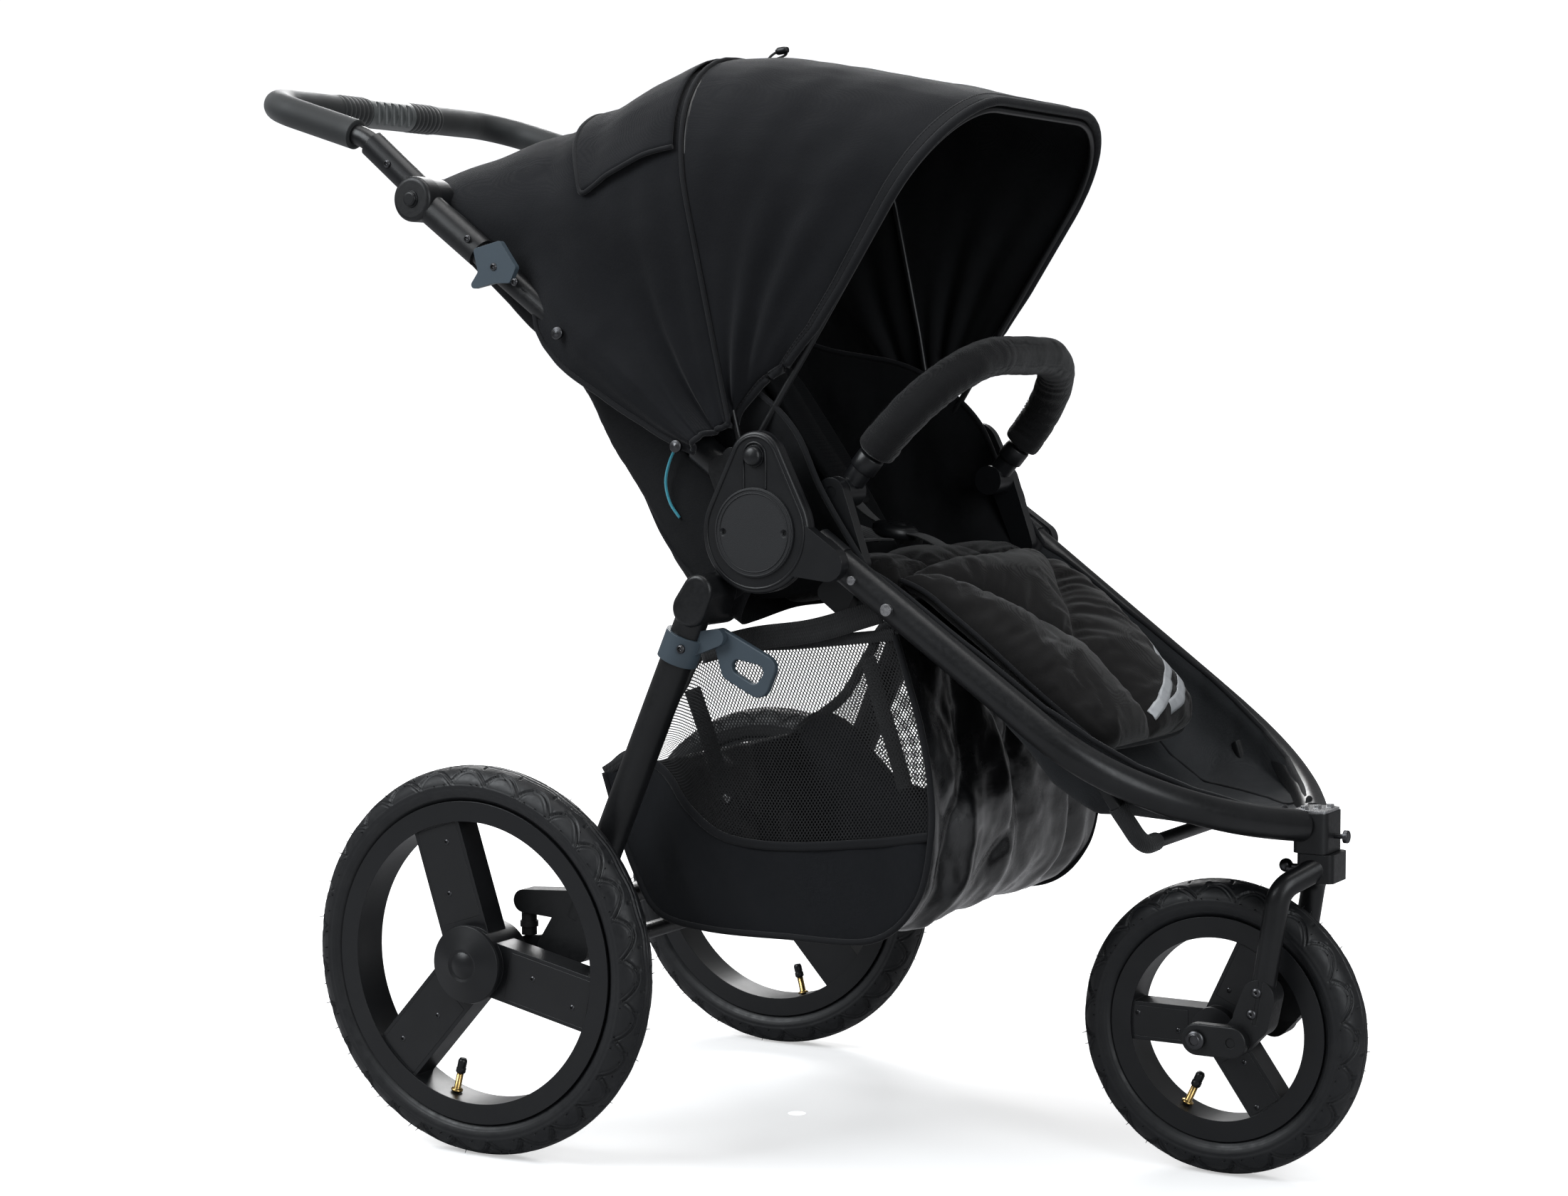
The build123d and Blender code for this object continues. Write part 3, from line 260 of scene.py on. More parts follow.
HARD = {
    coat: ("side_tubes", "footrest_hoop", "rear_legs", "rear_cross_tubes", "upper_tubes", "handlebar_tube",
           "fork", "canopy_front_bow", "canopy_middle_bow"),
    cast: ("head_block", "suspension_brackets", "swing_arm_right", "swing_arm_left", "fork_brackets",
           "front_links", "joint_housings"),
    nylon: ("hub_housings", "seat_brackets", "hub_button_right", "hub_button_left", "handlebar_sockets",
            "handle_button_right", "handle_button_left", "brake_pedal", "hub_cap_right", "hub_cap_left",
            "bumper_tube"),
    disc_nylon: ("hub_covers",),
    blue_grey: ("leg_clamp", "fold_hook", "fold_lever_right", "fold_lever_left"),
    grip_grey: ("centre_grip",),
    wheel_black: ("rim_right", "rim_left", "rim_front"),
    plate_black: ("spoke_plates_right", "spoke_plates_left", "spoke_plates_front"),
    frame_bolts: ("frame_fasteners",),
    steel: ("brake_pin_right", "brake_pin_left"),
    dark_steel: ("front_axle", "swivel_lock_pin", "fork_release_pin"),
    rubber: ("suspension_elastomers", "inner_tube_right", "inner_tube_left", "inner_tube_front"),
}
for look_material, names in HARD.items():
    for name in names:
        for material_slot in nodes[name].material_slots:
            material_slot.material = look_material


# ---------------------------------------------------------------- mesh helpers

def finish_object(name, mesh, material, body=None, smooth=True):
    """Object for a mesh, with its material, riding on a body if one is given."""
    if smooth:
        mesh.shade_smooth()
    piece = bpy.data.objects.new(name, mesh)
    bpy.context.scene.collection.objects.link(piece)
    if material:
        piece.data.materials.append(material)
    if body:
        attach(piece, body)
    return piece


def sheet_object(name, rows, material, body=None, closed=False):
    """Grid surface through rows of points; closed joins each row's end to its start. UVs are in metres."""
    count, width = len(rows), len(rows[0])
    points = np.array([[tuple(p) for p in row] for row in rows], float)
    across = np.zeros((count, width + closed))
    joined = np.concatenate([points, points[:, :1]], axis=1) if closed else points
    across[:, 1:] = np.cumsum(np.linalg.norm(np.diff(joined, axis=1), axis=2), axis=1)
    along = np.zeros(count)
    along[1:] = np.cumsum(np.linalg.norm(np.diff(points, axis=0), axis=2).mean(axis=1))
    faces, uvs = [], []
    for i in range(count - 1):
        for j in range(width - 1 + closed):
            k = (j + 1) % width
            faces.append((i * width + j, i * width + k, (i + 1) * width + k, (i + 1) * width + j))
            for a, b in ((i, j), (i, j + 1), (i + 1, j + 1), (i + 1, j)):
                uvs.append((across[a, b], along[a]))
    mesh = bpy.data.meshes.new(name)
    mesh.from_pydata(points.reshape(-1, 3).tolist(), [], faces)
    layer = mesh.uv_layers.new(name="threads")
    layer.data.foreach_set("uv", np.array(uvs, float).ravel())
    return finish_object(name, mesh, material, body)


def smooth_curve(points, count, closed=False):
    """Evenly spaced points on the smooth curve through the given ones."""
    given = np.array([tuple(p) for p in points], float)
    padded = np.vstack([given[-1], given, given[:2]]) if closed else np.vstack(
        [2 * given[0] - given[1], given, 2 * given[-1] - given[-2]])
    steps = np.linspace(0, 1, 17)[:-1][:, None]
    parts = []
    for i in range(1, len(padded) - 2):
        a, b, c, d = padded[i - 1:i + 3]
        parts.append(0.5 * (2 * b + (c - a) * steps + (2 * a - 5 * b + 4 * c - d) * steps ** 2
                            + (3 * b - a - 3 * c + d) * steps ** 3))
    dense = np.vstack(parts + [given[:1] if closed else given[-1:]])
    travelled = np.concatenate([[0], np.cumsum(np.linalg.norm(np.diff(dense, axis=0), axis=1))])
    wanted = np.linspace(0, travelled[-1], count + closed)[:count]
    return np.stack([np.interp(wanted, travelled, dense[:, axis]) for axis in range(dense.shape[1])], axis=1)


def path_frames(path, up, closed=False):
    """Side and upward unit vectors at each point of a path; up is roughly upward."""
    path = np.array(path, float)
    if closed:
        heading = np.roll(path, -1, axis=0) - np.roll(path, 1, axis=0)
    else:
        heading = np.gradient(path, axis=0)
    heading /= np.linalg.norm(heading, axis=1)[:, None]
    side = np.cross(heading, np.array(up, float))
    side /= np.linalg.norm(side, axis=1)[:, None]
    return side, np.cross(side, heading)


def tube_object(name, path, radius, material, body=None, up=(0, 0, 1), around=12, closed=False, flat=1.0):
    """Rounded cord or tube along a path. radius may be a list; flat scales its thickness."""
    side, rise = path_frames(path, up, closed)
    radii = np.broadcast_to(np.array(radius, float), (len(path),))
    turns = np.linspace(0, 2 * math.pi, around, endpoint=False)
    ring = np.array(path)[:, None] + radii[:, None, None] * (
        np.cos(turns)[None, :, None] * side[:, None] + flat * np.sin(turns)[None, :, None] * rise[:, None])
    rows = list(ring)
    if closed:
        rows.append(rows[0])
    else:
        first, last = np.array(path[0], float), np.array(path[-1], float)
        rows = [first + (rows[0] - first) * 0.02, first + (rows[0] - first) * 0.8] + rows
        rows += [last + (rows[-1] - last) * 0.8, last + (rows[-1] - last) * 0.02]
    piece = sheet_object(name, rows, material, body, closed=True)
    if closed:
        weld(piece)
    return piece


def weld(piece, distance=1e-5):
    """Merge vertices that coincide."""
    mesh = bmesh.new()
    mesh.from_mesh(piece.data)
    bmesh.ops.remove_doubles(mesh, verts=mesh.verts, dist=distance)
    bmesh.ops.recalc_face_normals(mesh, faces=mesh.faces)
    mesh.to_mesh(piece.data)
    mesh.free()


def strap_object(name, path, width, thickness, material, body=None, up=(0, 0, 1)):
    """Flat strap along a path: width across, thickness along up, with softly rounded edges."""
    side, rise = path_frames(path, up)
    w, t = width / 2, thickness / 2
    outline = [(-w, -0.4 * t), (-w, 0.4 * t), (-0.92 * w, t), (0, t), (0.92 * w, t), (w, 0.4 * t), (w, -0.4 * t),
               (0.92 * w, -t), (0, -t), (-0.92 * w, -t)]
    rows = [[np.array(p) + a * s + b * r for a, b in outline] for p, s, r in zip(path, side, rise)]
    piece = sheet_object(name, rows, material, body, closed=True)
    mesh = bmesh.new()
    mesh.from_mesh(piece.data)
    bmesh.ops.holes_fill(mesh, edges=[e for e in mesh.edges if e.is_boundary])
    bmesh.ops.recalc_face_normals(mesh, faces=mesh.faces)
    mesh.to_mesh(piece.data)
    mesh.free()
    return piece


def lathe_object(name, profile, centre, axis, material, body=None, around=40):
    """Turned piece: profile is (radius, height) pairs along the axis from the centre."""
    axis = Vector(axis).normalized()
    first = axis.orthogonal().normalized()
    second = axis.cross(first)
    rows = []
    for radius, height in profile:
        turns = np.linspace(0, 2 * math.pi, around, endpoint=False)
        rows.append([Vector(centre) + axis * height + (first * math.cos(t) + second * math.sin(t)) * radius
                     for t in turns])
    piece = sheet_object(name, rows, material, body, closed=True)
    weld(piece)
    return piece


def screw_head(name, centre, axis, radius, material, body, recess=0.5, height=None):
    """Button-head screw with a hexagonal socket."""
    height = height or radius * 0.55
    deep = -height * 0.1
    profile = [(radius, -height * 0.6), (radius, 0)]
    profile += [(radius * math.cos(a) * 0.98, height * math.sin(a)) for a in np.linspace(0.2, 1.05, 5)]
    profile += [(radius * recess, height * 0.96), (radius * recess * 0.95, deep), (0.0001, deep)]
    return lathe_object(name, profile, centre, axis, material, body, around=24)


def thicken(piece, thickness, offset=0.0):
    """Give a sheet a real thickness and apply it."""
    modifier = piece.modifiers.new("thickness", "SOLIDIFY")
    modifier.thickness = thickness
    modifier.offset = offset
    apply_modifiers(piece)


def apply_modifiers(piece):
    """Bake every modifier of a piece into its mesh."""
    bpy.context.view_layer.update()
    graph = bpy.context.evaluated_depsgraph_get()
    baked = bpy.data.meshes.new_from_object(piece.evaluated_get(graph))
    old = piece.data
    piece.modifiers.clear()
    piece.data = baked
    bpy.data.meshes.remove(old)


def subdivide(piece, levels=1):
    """Smooth a piece with Catmull-Clark subdivision and apply it."""
    modifier = piece.modifiers.new("smoothing", "SUBSURF")
    modifier.levels = levels
    modifier.render_levels = levels
    apply_modifiers(piece)
    piece.data.shade_smooth()


# ---------------------------------------------------------------- wheels

REAR_SCALLOPS, FRONT_SCALLOPS = 28, 20
CUSP, SCALLOP_RISE = 76.0, 44.0      # degrees round the tyre's section from the crown


def groove(distance, width, depth):
    """Moulded groove with a small raised lip on each side; distance from its middle, all in metres."""
    return (-depth * np.exp(-(distance / width) ** 2)
            + 0.4 * depth * np.exp(-((np.abs(distance) - 2.1 * width) / (0.8 * width)) ** 2))


def tread_relief(share, section, radius):
    """Height of the tread pattern. share is the place along one scallop, section the angle from the crown."""
    relief = np.zeros_like(section)
    for side in (-1, 1):
        place = (share + (0.5 if side < 0 else 0.0)) % 1.0
        rise = np.sin(np.pi * place ** 1.25) ** 0.7
        line = CUSP - SCALLOP_RISE * rise
        slope = np.gradient(line[:, 0], 46 * MM / len(line) * REAR_SCALLOPS)[:, None] * radius * math.pi / 180
        distance = (section * side - line) * radius * math.pi / 180 / np.sqrt(1 + np.minimum(slope ** 2, 9))
        relief += groove(distance, 0.95 * MM, 2.6 * MM)
        inner = distance - 4.2 * MM
        relief += groove(inner, 0.7 * MM, 1.0 * MM) * (rise > 0.25)
        curl = np.hypot((place - 0.74) * 46 * MM, (section * side - 34) * radius * math.pi / 180)
        relief += groove(curl - 2.6 * MM, 0.8 * MM, 1.3 * MM) * (place > 0.7)
        dash = np.maximum(np.abs(place - 0.25) * 46 * MM - 0.6 * MM,
                          np.abs(section * side - 19) * radius * math.pi / 180 - 2.6 * MM)
        relief -= 1.8 * MM / (1 + np.exp(np.clip(dash / (0.25 * MM), -30, 30)))
        crown = 7 + 2.5 * np.cos(2 * np.pi * place)
        relief += groove((section * side - crown) * radius * math.pi / 180, 1.0 * MM, 1.8 * MM)
        for bead, height in ((86, 0.6), (100, 0.9), (108, 0.6), (118, 0.9)):
            relief += height * MM * np.exp(-((section * side - bead) / 1.8) ** 2)
    return relief


def build_tyre(side_name, body, scallops):
    """Treaded tyre over the CAD tyre's own outline, with the moulding's rubber hairs."""
    node = f"tyre_{side_name}"
    low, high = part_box(node)
    centre = (low + high) / 2
    outer, half_width = (high.z - low.z) / 2, (high.y - low.y) / 2
    rim_low, rim_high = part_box(f"rim_{side_name}")
    lip = (rim_high.z - rim_low.z) / 2
    middle = (outer + lip - 6 * MM) / 2
    height = outer - middle
    around, across = 32 * scallops, 108
    turn = np.linspace(0, 2 * math.pi, around, endpoint=False)[:, None]
    spread = np.linspace(-1, 1, across, endpoint=False)[None, :]
    section = 180 * np.sign(spread) * np.abs(spread) ** 1.25 * np.ones_like(turn)
    share = (turn * scallops / (2 * math.pi)) % 1.0 * np.ones_like(section)
    relief = tread_relief(share, section, 22 * MM)
    angle = np.radians(section)
    flank_y, flank_r = np.sin(angle) / half_width, np.cos(angle) / height
    length = np.hypot(flank_y, flank_r)
    y = half_width * np.sin(angle) + relief * flank_y / length
    r = middle + height * np.cos(angle) + np.minimum(relief, 0.2 * MM) * flank_r / length
    r = np.minimum(r, outer)
    points = np.stack([centre.x + r * np.cos(turn), centre.y + y, centre.z + r * np.sin(turn)], axis=2)
    rows = list(points) + [points[0]]
    tyre = sheet_object(f"treaded_tyre_{side_name}", rows, tread, body, closed=True)
    weld(tyre)
    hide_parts(node)
    build_tyre_hairs(side_name, body, centre, middle, height, half_width, scallops)


def build_tyre_hairs(side_name, body, centre, middle, height, half_width, scallops):
    """Thin rubber hairs that the tyre's mould leaves along both shoulders."""
    rng = random.Random(scallops)
    mesh = bmesh.new()
    for k in range(3 * scallops):
        for side in (-1, 1):
            turn = 2 * math.pi * (k + rng.uniform(-0.25, 0.25)) / (3 * scallops)
            section = math.radians(rng.choice((44, 80)))
            radius = middle + height * math.cos(section)
            base = Vector((radius * math.cos(turn), side * half_width * math.sin(section), radius * math.sin(turn)))
            out = Vector((math.cos(turn) * math.cos(section), side * math.sin(section),
                          math.sin(turn) * math.cos(section)))
            lean = Vector((rng.uniform(-0.5, 0.5), rng.uniform(-0.4, 0.4), rng.uniform(-0.5, 0.5)))
            length = rng.uniform(2.5, 6.0) * MM
            cone = bmesh.ops.create_cone(mesh, segments=5, radius1=0.55 * MM, radius2=0.24 * MM, depth=length,
                                         cap_ends=True)
            tip = (out + 0.6 * lean).normalized()
            placed = Matrix.Translation(base + tip * length * 0.45 + centre) @ tip.to_track_quat("Z", "Y").to_matrix().to_4x4()
            bmesh.ops.transform(mesh, matrix=placed, verts=cone["verts"])
    data = bpy.data.meshes.new(f"tyre_hairs_{side_name}")
    mesh.to_mesh(data)
    mesh.free()
    finish_object(f"tyre_hairs_{side_name}", data, tread, body)


def wheel_direction(side, angle):
    """Unit vector across the axle at an angle in the wheel's outward face, where up is 90."""
    turn = math.radians(angle)
    return Vector((-side * math.cos(turn), 0, math.sin(turn)))


def build_wheel_details(side_name, body, side, spokes, valve, screw_radii, plate_out):
    """Screws of the spoke plates and the valve's brass stem, nut and ribbed cap."""
    low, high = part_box(f"rim_{side_name}")
    centre = (low + high) / 2
    lip = (high.z - low.z) / 2
    for number, angle in enumerate(spokes):
        out = wheel_direction(side, angle)
        beside = wheel_direction(side, angle + 90)
        for place, shift in zip(screw_radii, (0.006, -0.008)):
            spot = centre + out * place + beside * shift + Vector((0, side * plate_out, 0))
            screw_head(f"spoke_screw_{side_name}_{number}_{int(place * 1000)}", spot, (0, side, 0), 2.9 * MM,
                       dark_steel, body, height=1.2 * MM)
    out = wheel_direction(side, valve)
    foot = centre + out * (lip - 22.5 * MM)
    lathe_object(f"valve_stem_{side_name}", [(0.0001, 0), (6.2 * MM, 0), (6.2 * MM, 1.6 * MM), (4.1 * MM, 2.4 * MM),
                                             (3.6 * MM, 3 * MM), (3.6 * MM, 20 * MM), (0.0001, 20.2 * MM)],
                 foot, -out, brass, body, around=20)
    cap = [(0.0001, 20 * MM), (4.6 * MM, 20 * MM), (5.2 * MM, 21 * MM), (5.2 * MM, 25 * MM), (4.4 * MM, 26 * MM),
           (4.8 * MM, 27 * MM), (4.8 * MM, 33 * MM), (3.6 * MM, 35.5 * MM), (0.0001, 36 * MM)]
    lathe_object(f"valve_cap_{side_name}", cap, foot, -out, nylon, body, around=20)


build_tyre("right", "rear_wheel_right", REAR_SCALLOPS)
build_tyre("left", "rear_wheel_left", REAR_SCALLOPS)
build_tyre("front", "front_wheel", FRONT_SCALLOPS)
REAR_SPOKES, REAR_VALVE = (108, -12, 228), 256
FRONT_SPOKES, FRONT_VALVE = (180, 65, -55), 245
build_wheel_details("right", "rear_wheel_right", -1, REAR_SPOKES, REAR_VALVE, (0.075, 0.127), 0.0181)
build_wheel_details("left", "rear_wheel_left", 1, REAR_SPOKES, REAR_VALVE, (0.075, 0.127), 0.0181)
build_wheel_details("front", "front_wheel", -1, FRONT_SPOKES, FRONT_VALVE, (0.042, 0.086), 0.0176)


# ---------------------------------------------------------------- fabric materials

def woven(name, colour, pitch, roughness=0.85, sheen=0.25, depth=0.00025, lighter=1.9):
    """Woven polyester: threads, slubs, faded and dusty patches, soft sheen."""
    look = Look(name, specular_ior_level=0.14, sheen_weight=sheen * 0.28, sheen_roughness=0.35)
    threads = look.weave(pitch)
    fade = look.spread(look.noise(0.09, 5), 0.35, 0.72)
    slub = look.noise(0.0022, 2)
    pale = tuple(c * lighter + 0.003 for c in colour)
    shade = look.math("MULTIPLY_ADD", threads, 0.45, look.math("MULTIPLY", slub, 0.35))
    base = look.blend(look.math("MULTIPLY", shade, look.spread(fade, 0, 1, 0.6, 1.1)), colour, pale)
    look.set("Base Color", base)
    look.set("Roughness", look.spread(fade, 0, 1, roughness, roughness - 0.08))
    crease = look.math("MULTIPLY", look.noise(0.035, 3), 1.5)
    look.bump(look.math("ADD", look.math("MULTIPLY_ADD", threads, 1.0, slub), crease), depth)
    return look.material


def coated(name, colour, roughness=0.3):
    """Coated nylon: fine weave under a glossy film, full of small creases."""
    look = Look(name, specular_ior_level=0.6, coat_weight=0.7, coat_roughness=0.2)
    creases = look.noise(0.02, 5)
    scuff = look.spread(look.noise(0.05, 5), 0.5, 0.8)
    look.set("Base Color", look.blend(scuff, colour, tuple(c * 2.2 + 0.004 for c in colour)))
    look.set("Roughness", look.spread(scuff, 0, 1, roughness, roughness + 0.22))
    fine = look.math("MULTIPLY", look.weave(0.0012), 0.05)
    look.bump(look.math("ADD", creases, fine), 0.0016)
    return look.material


def netting(name, colour, pitch, thread):
    """Open mesh: crossing threads with see-through holes, laid out in the sheet's own UVs."""
    look = Look(name, roughness=0.6, specular_ior_level=0.3)
    u, v = look.axes(look.uv)[:2]
    first = look.math("ABSOLUTE", look.wave(look.math("ADD", u, v), pitch * 2.83))
    second = look.math("ABSOLUTE", look.wave(look.math("SUBTRACT", u, v), pitch * 2.83))
    gap = look.math("MINIMUM", first, second)
    solid = look.spread(gap, thread, thread + 0.14, 1.0, 0.0)
    look.set("Alpha", solid)
    fade = look.spread(look.noise(0.05, 3), 0.3, 0.7)
    look.set("Base Color", look.blend(fade, colour, tuple(c * 1.8 for c in colour)))
    look.bump(gap, 0.0003)
    return look.material


def webbing(name, colour):
    """Ribbed strap webbing with a twill running across it."""
    look = Look(name, roughness=0.62, specular_ior_level=0.35, sheen_weight=0.2)
    u, v = look.axes(look.uv)[:2]
    ribs = look.wave(look.math("MULTIPLY_ADD", u, 0.6, v), 0.0021)
    edge = look.wave(u, 0.0034)
    height = look.math("MULTIPLY_ADD", edge, 0.4, ribs)
    wear = look.spread(look.noise(0.03, 4), 0.35, 0.7)
    shade = look.spread(height, -1.2, 1.2, 0.0, 0.7)
    look.set("Base Color", look.blend(look.math("MULTIPLY", shade, wear), colour, tuple(c * 2.6 + 0.005 for c in colour)))
    look.bump(height, 0.0002)
    return look.material


def reflective(name):
    """Silver reflective tape: tiny glass beads on a slightly crumpled film."""
    look = Look(name, roughness=0.45, metallic=0.35, specular_ior_level=0.6)
    beads = look.add("ShaderNodeTexVoronoi", {"Vector": look.point, "Scale": 2600.0}).outputs["Distance"]
    rub = look.spread(look.noise(0.012, 4), 0.4, 0.75)
    look.set("Base Color", look.blend(rub, (0.56, 0.58, 0.60), (0.42, 0.43, 0.45)))
    look.set("Roughness", look.spread(rub, 0, 1, 0.38, 0.6))
    look.bump(look.math("MULTIPLY_ADD", look.noise(0.006, 2), 2.0, beads), 0.00012)
    return look.material


def cord(name, colour):
    """Braided cord."""
    look = Look(name, roughness=0.55, sheen_weight=0.3)
    x, y, z = look.axes(look.point)
    braid = look.math("MULTIPLY", look.wave(look.math("ADD", z, x), 0.0014), look.wave(look.math("SUBTRACT", z, y), 0.0014))
    look.set("Base Color", look.blend(look.spread(braid, -1, 1), tuple(c * 0.6 for c in colour), colour))
    look.bump(braid, 0.0002)
    return look.material


canopy_cloth = woven("canopy_canvas", (0.0066, 0.0070, 0.0084), 0.0011, sheen=0.45)
binding_cloth = woven("binding_tape", (0.010, 0.0103, 0.0115), 0.0016, sheen=0.6)
lining_cloth = woven("canopy_lining", (0.0055, 0.0058, 0.0066), 0.0008, roughness=0.7, sheen=0.12)
seat_cloth = woven("seat_canvas", (0.0104, 0.0098, 0.0098), 0.0011, sheen=0.8)
panel_cloth = woven("seat_side_nylon", (0.006, 0.0063, 0.0072), 0.0009, roughness=0.6, sheen=0.12)
footwell_cloth = woven("footwell_fabric", (0.021, 0.0225, 0.0245), 0.0009, roughness=0.62, sheen=0.18)
bumper_cloth = woven("bumper_canvas", (0.0086, 0.0086, 0.0092), 0.0013, sheen=0.9, depth=0.0004)
basket_nylon = woven("basket_nylon", (0.0095, 0.0102, 0.0122), 0.0008, roughness=0.5, sheen=0.08, depth=0.0004)
basket_coated = coated("basket_coated_nylon", (0.0085, 0.0088, 0.0095), 0.24)
basket_net = netting("basket_mesh", (0.007, 0.007, 0.0075), 0.0027, 0.50)
strap_web = webbing("black_webbing", (0.0075, 0.0078, 0.0085))
tape_silver = reflective("reflective_tape")
cyan_cord = cord("cyan_cord", (0.04, 0.46, 0.60))


# ---------------------------------------------------------------- canopy

PIVOT = Vector((0.262, 0, 0.724))
FRONT_ANGLE, SEAM_ANGLE, REAR_ANGLE = 57.0, 102.5, 146.5     # degrees from forward, about the pivot
ARCH_COLUMNS = 150


def canopy_arch(angle):
    """Half width, reach of the middle and corner radius of the sheet at an angle of the fan."""
    stops = (FRONT_ANGLE, 70, 80, SEAM_ANGLE, 112, 122, 131, 140, REAR_ANGLE)
    half = np.interp(angle, stops, (0.2115, 0.216, 0.219, 0.2265, 0.228, 0.228, 0.228, 0.226, 0.222))
    reach = np.interp(angle, stops, (0.4205, 0.408, 0.405, 0.4215, 0.422, 0.428, 0.450, 0.488, 0.535))
    corner = np.interp(angle, stops, (0.122, 0.135, 0.145, 0.158, 0.160, 0.165, 0.165, 0.150, 0.130))
    return half, reach, corner


def hem_angle(reach):
    """Angle of the front hem at a distance from the pivot: straight, then curling back at the foot."""
    return float(np.interp(reach, (0.035, 0.06, 0.10, 0.15, 0.20, 0.42), (112, 84, 63, 58, 57, 57)))


def rear_angle(reach):
    """Angle of the rear edge: low flap over the tube, a notch above the fold lever, then out to the joint."""
    return float(np.interp(reach, (0.035, 0.06, 0.10, 0.16, 0.22, 0.250, 0.268, 0.282, 0.31, 0.36, 0.42, 0.46, 0.52),
                           (170, 165, 160, 156.5, 154.5, 152.5, 150.5, 147.6, 145.0, 143.9, 143.8, 144.4, 146.5)))


def arch_points(angle, foot=0.034):
    """(y, distance from pivot) along one arch, from the right foot over the top to the left foot."""
    half, reach, corner = canopy_arch(angle)
    turns = np.linspace(0, math.pi / 2, 12)
    side = [(-half, foot)] + [(-half + corner * (1 - math.cos(t)), reach - corner * (1 - math.sin(t))) for t in turns]
    outline = np.array(side + [(-y, r) for y, r in reversed(side)], float)
    travelled = np.concatenate([[0], np.cumsum(np.linalg.norm(np.diff(outline, axis=0), axis=1))])
    wanted = np.linspace(0, travelled[-1], ARCH_COLUMNS)
    return np.stack([np.interp(wanted, travelled, outline[:, axis]) for axis in (0, 1)], axis=1)


def fan_point(angle, y, reach):
    """Point at a distance from the canopy pivot, at an angle from forward."""
    turn = math.radians(angle)
    return Vector((PIVOT.x + reach * math.cos(turn), y, PIVOT.z + reach * math.sin(turn)))


def wrinkle(point, size, depth):
    """Small undulation of loose cloth."""
    return depth * noise.fractal(Vector(point) / size, 0.8, 2.2, 3)


def cloth_point(share, column, arch, lift=0.0, rear=False):
    """Point of the sheet. share runs 0 to 1 from one bow to the next; lift is outward, in metres."""
    y, reach = arch[column]
    start = SEAM_ANGLE if rear else hem_angle(reach)
    end = rear_angle(reach) if rear else SEAM_ANGLE
    angle = start + share * (end - start)
    over = math.sin(math.pi * column / (ARCH_COLUMNS - 1))
    between = math.sin(math.pi * share)
    loose = between ** 0.6
    tube_cover = np.interp(angle, (128, 143), (0, 1)) * np.interp(reach, (0.20, 0.34), (1, 0)) * 0.030
    y_out = abs(y) + tube_cover + 0.004 * between * (1 - over)
    outward = lift - 0.006 * between * over
    radial = np.interp(reach, (0.05, 0.25, 0.42), (0.0030, 0.0024, 0.0))
    ripple = radial * math.sin(angle * 0.42 + 14 * reach) * loose
    diagonal = 0.0024 * math.sin(38 * (reach + 0.9 * math.radians(angle))) * loose * np.interp(over, (0, 0.5, 1), (1, 0.8, 0.3))
    side_share = 1 - over ** 2
    place = fan_point(angle, 0, reach + (outward + diagonal) * over + 0.3 * ripple)
    place.y = math.copysign(y_out + (lift + ripple + diagonal) * side_share, y)
    place.z += wrinkle(place, 0.13, 0.0030) * loose
    place.y += math.copysign(wrinkle(place, 0.07, 0.0018) * loose, y)
    return place


def follow_fan(piece):
    """Bake the piece's transform into its mesh."""
    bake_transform(piece)


def canopy_sheet(name, rear, shares, columns=(0, ARCH_COLUMNS), lift=0.0):
    """Rows of one panel of the sheet, and the object made from them in canopy cloth."""
    rows = []
    for share in shares:
        nominal = SEAM_ANGLE + share * (REAR_ANGLE - SEAM_ANGLE) if rear else (
            FRONT_ANGLE + share * (SEAM_ANGLE - FRONT_ANGLE))
        arch = arch_points(nominal)
        rows.append([cloth_point(share, k, arch, lift, rear) for k in range(*columns)])
    piece = sheet_object(name, rows, canopy_cloth)
    return piece, rows


def build_canopy():
    """Continuous cloth over the bows: front and rear panels, seam cord, piped edges, hem and flap."""
    front, front_rows = canopy_sheet("canopy_cloth_front", False, np.linspace(0, 1, 40))
    rear, rear_rows = canopy_sheet("canopy_cloth_rear", True, np.linspace(0, 1, 44))
    for piece in (front, rear):
        piece.data.materials.append(lining_cloth)
        modifier = piece.modifiers.new("cloth", "SOLIDIFY")
        modifier.thickness = 0.0022
        modifier.offset = 1.0 if front_faces_in(piece) else -1.0
        modifier.material_offset = 1
        apply_modifiers(piece)
        piece.data.shade_smooth()
    follow_fan(front)
    follow_fan(rear)
    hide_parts("canopy_front")
    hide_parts("canopy_rear")
    build_canopy_hem(front_rows)
    build_canopy_cords(front_rows, rear_rows)
    build_window_flap()
    build_snaps()
    build_zip_pull(front_rows[-1])


def front_faces_in(piece):
    """Whether the sheet's faces point towards the inside of the canopy."""
    middle = piece.data.polygons[len(piece.data.polygons) // 2]
    return middle.normal.dot(middle.center - PIVOT) < 0


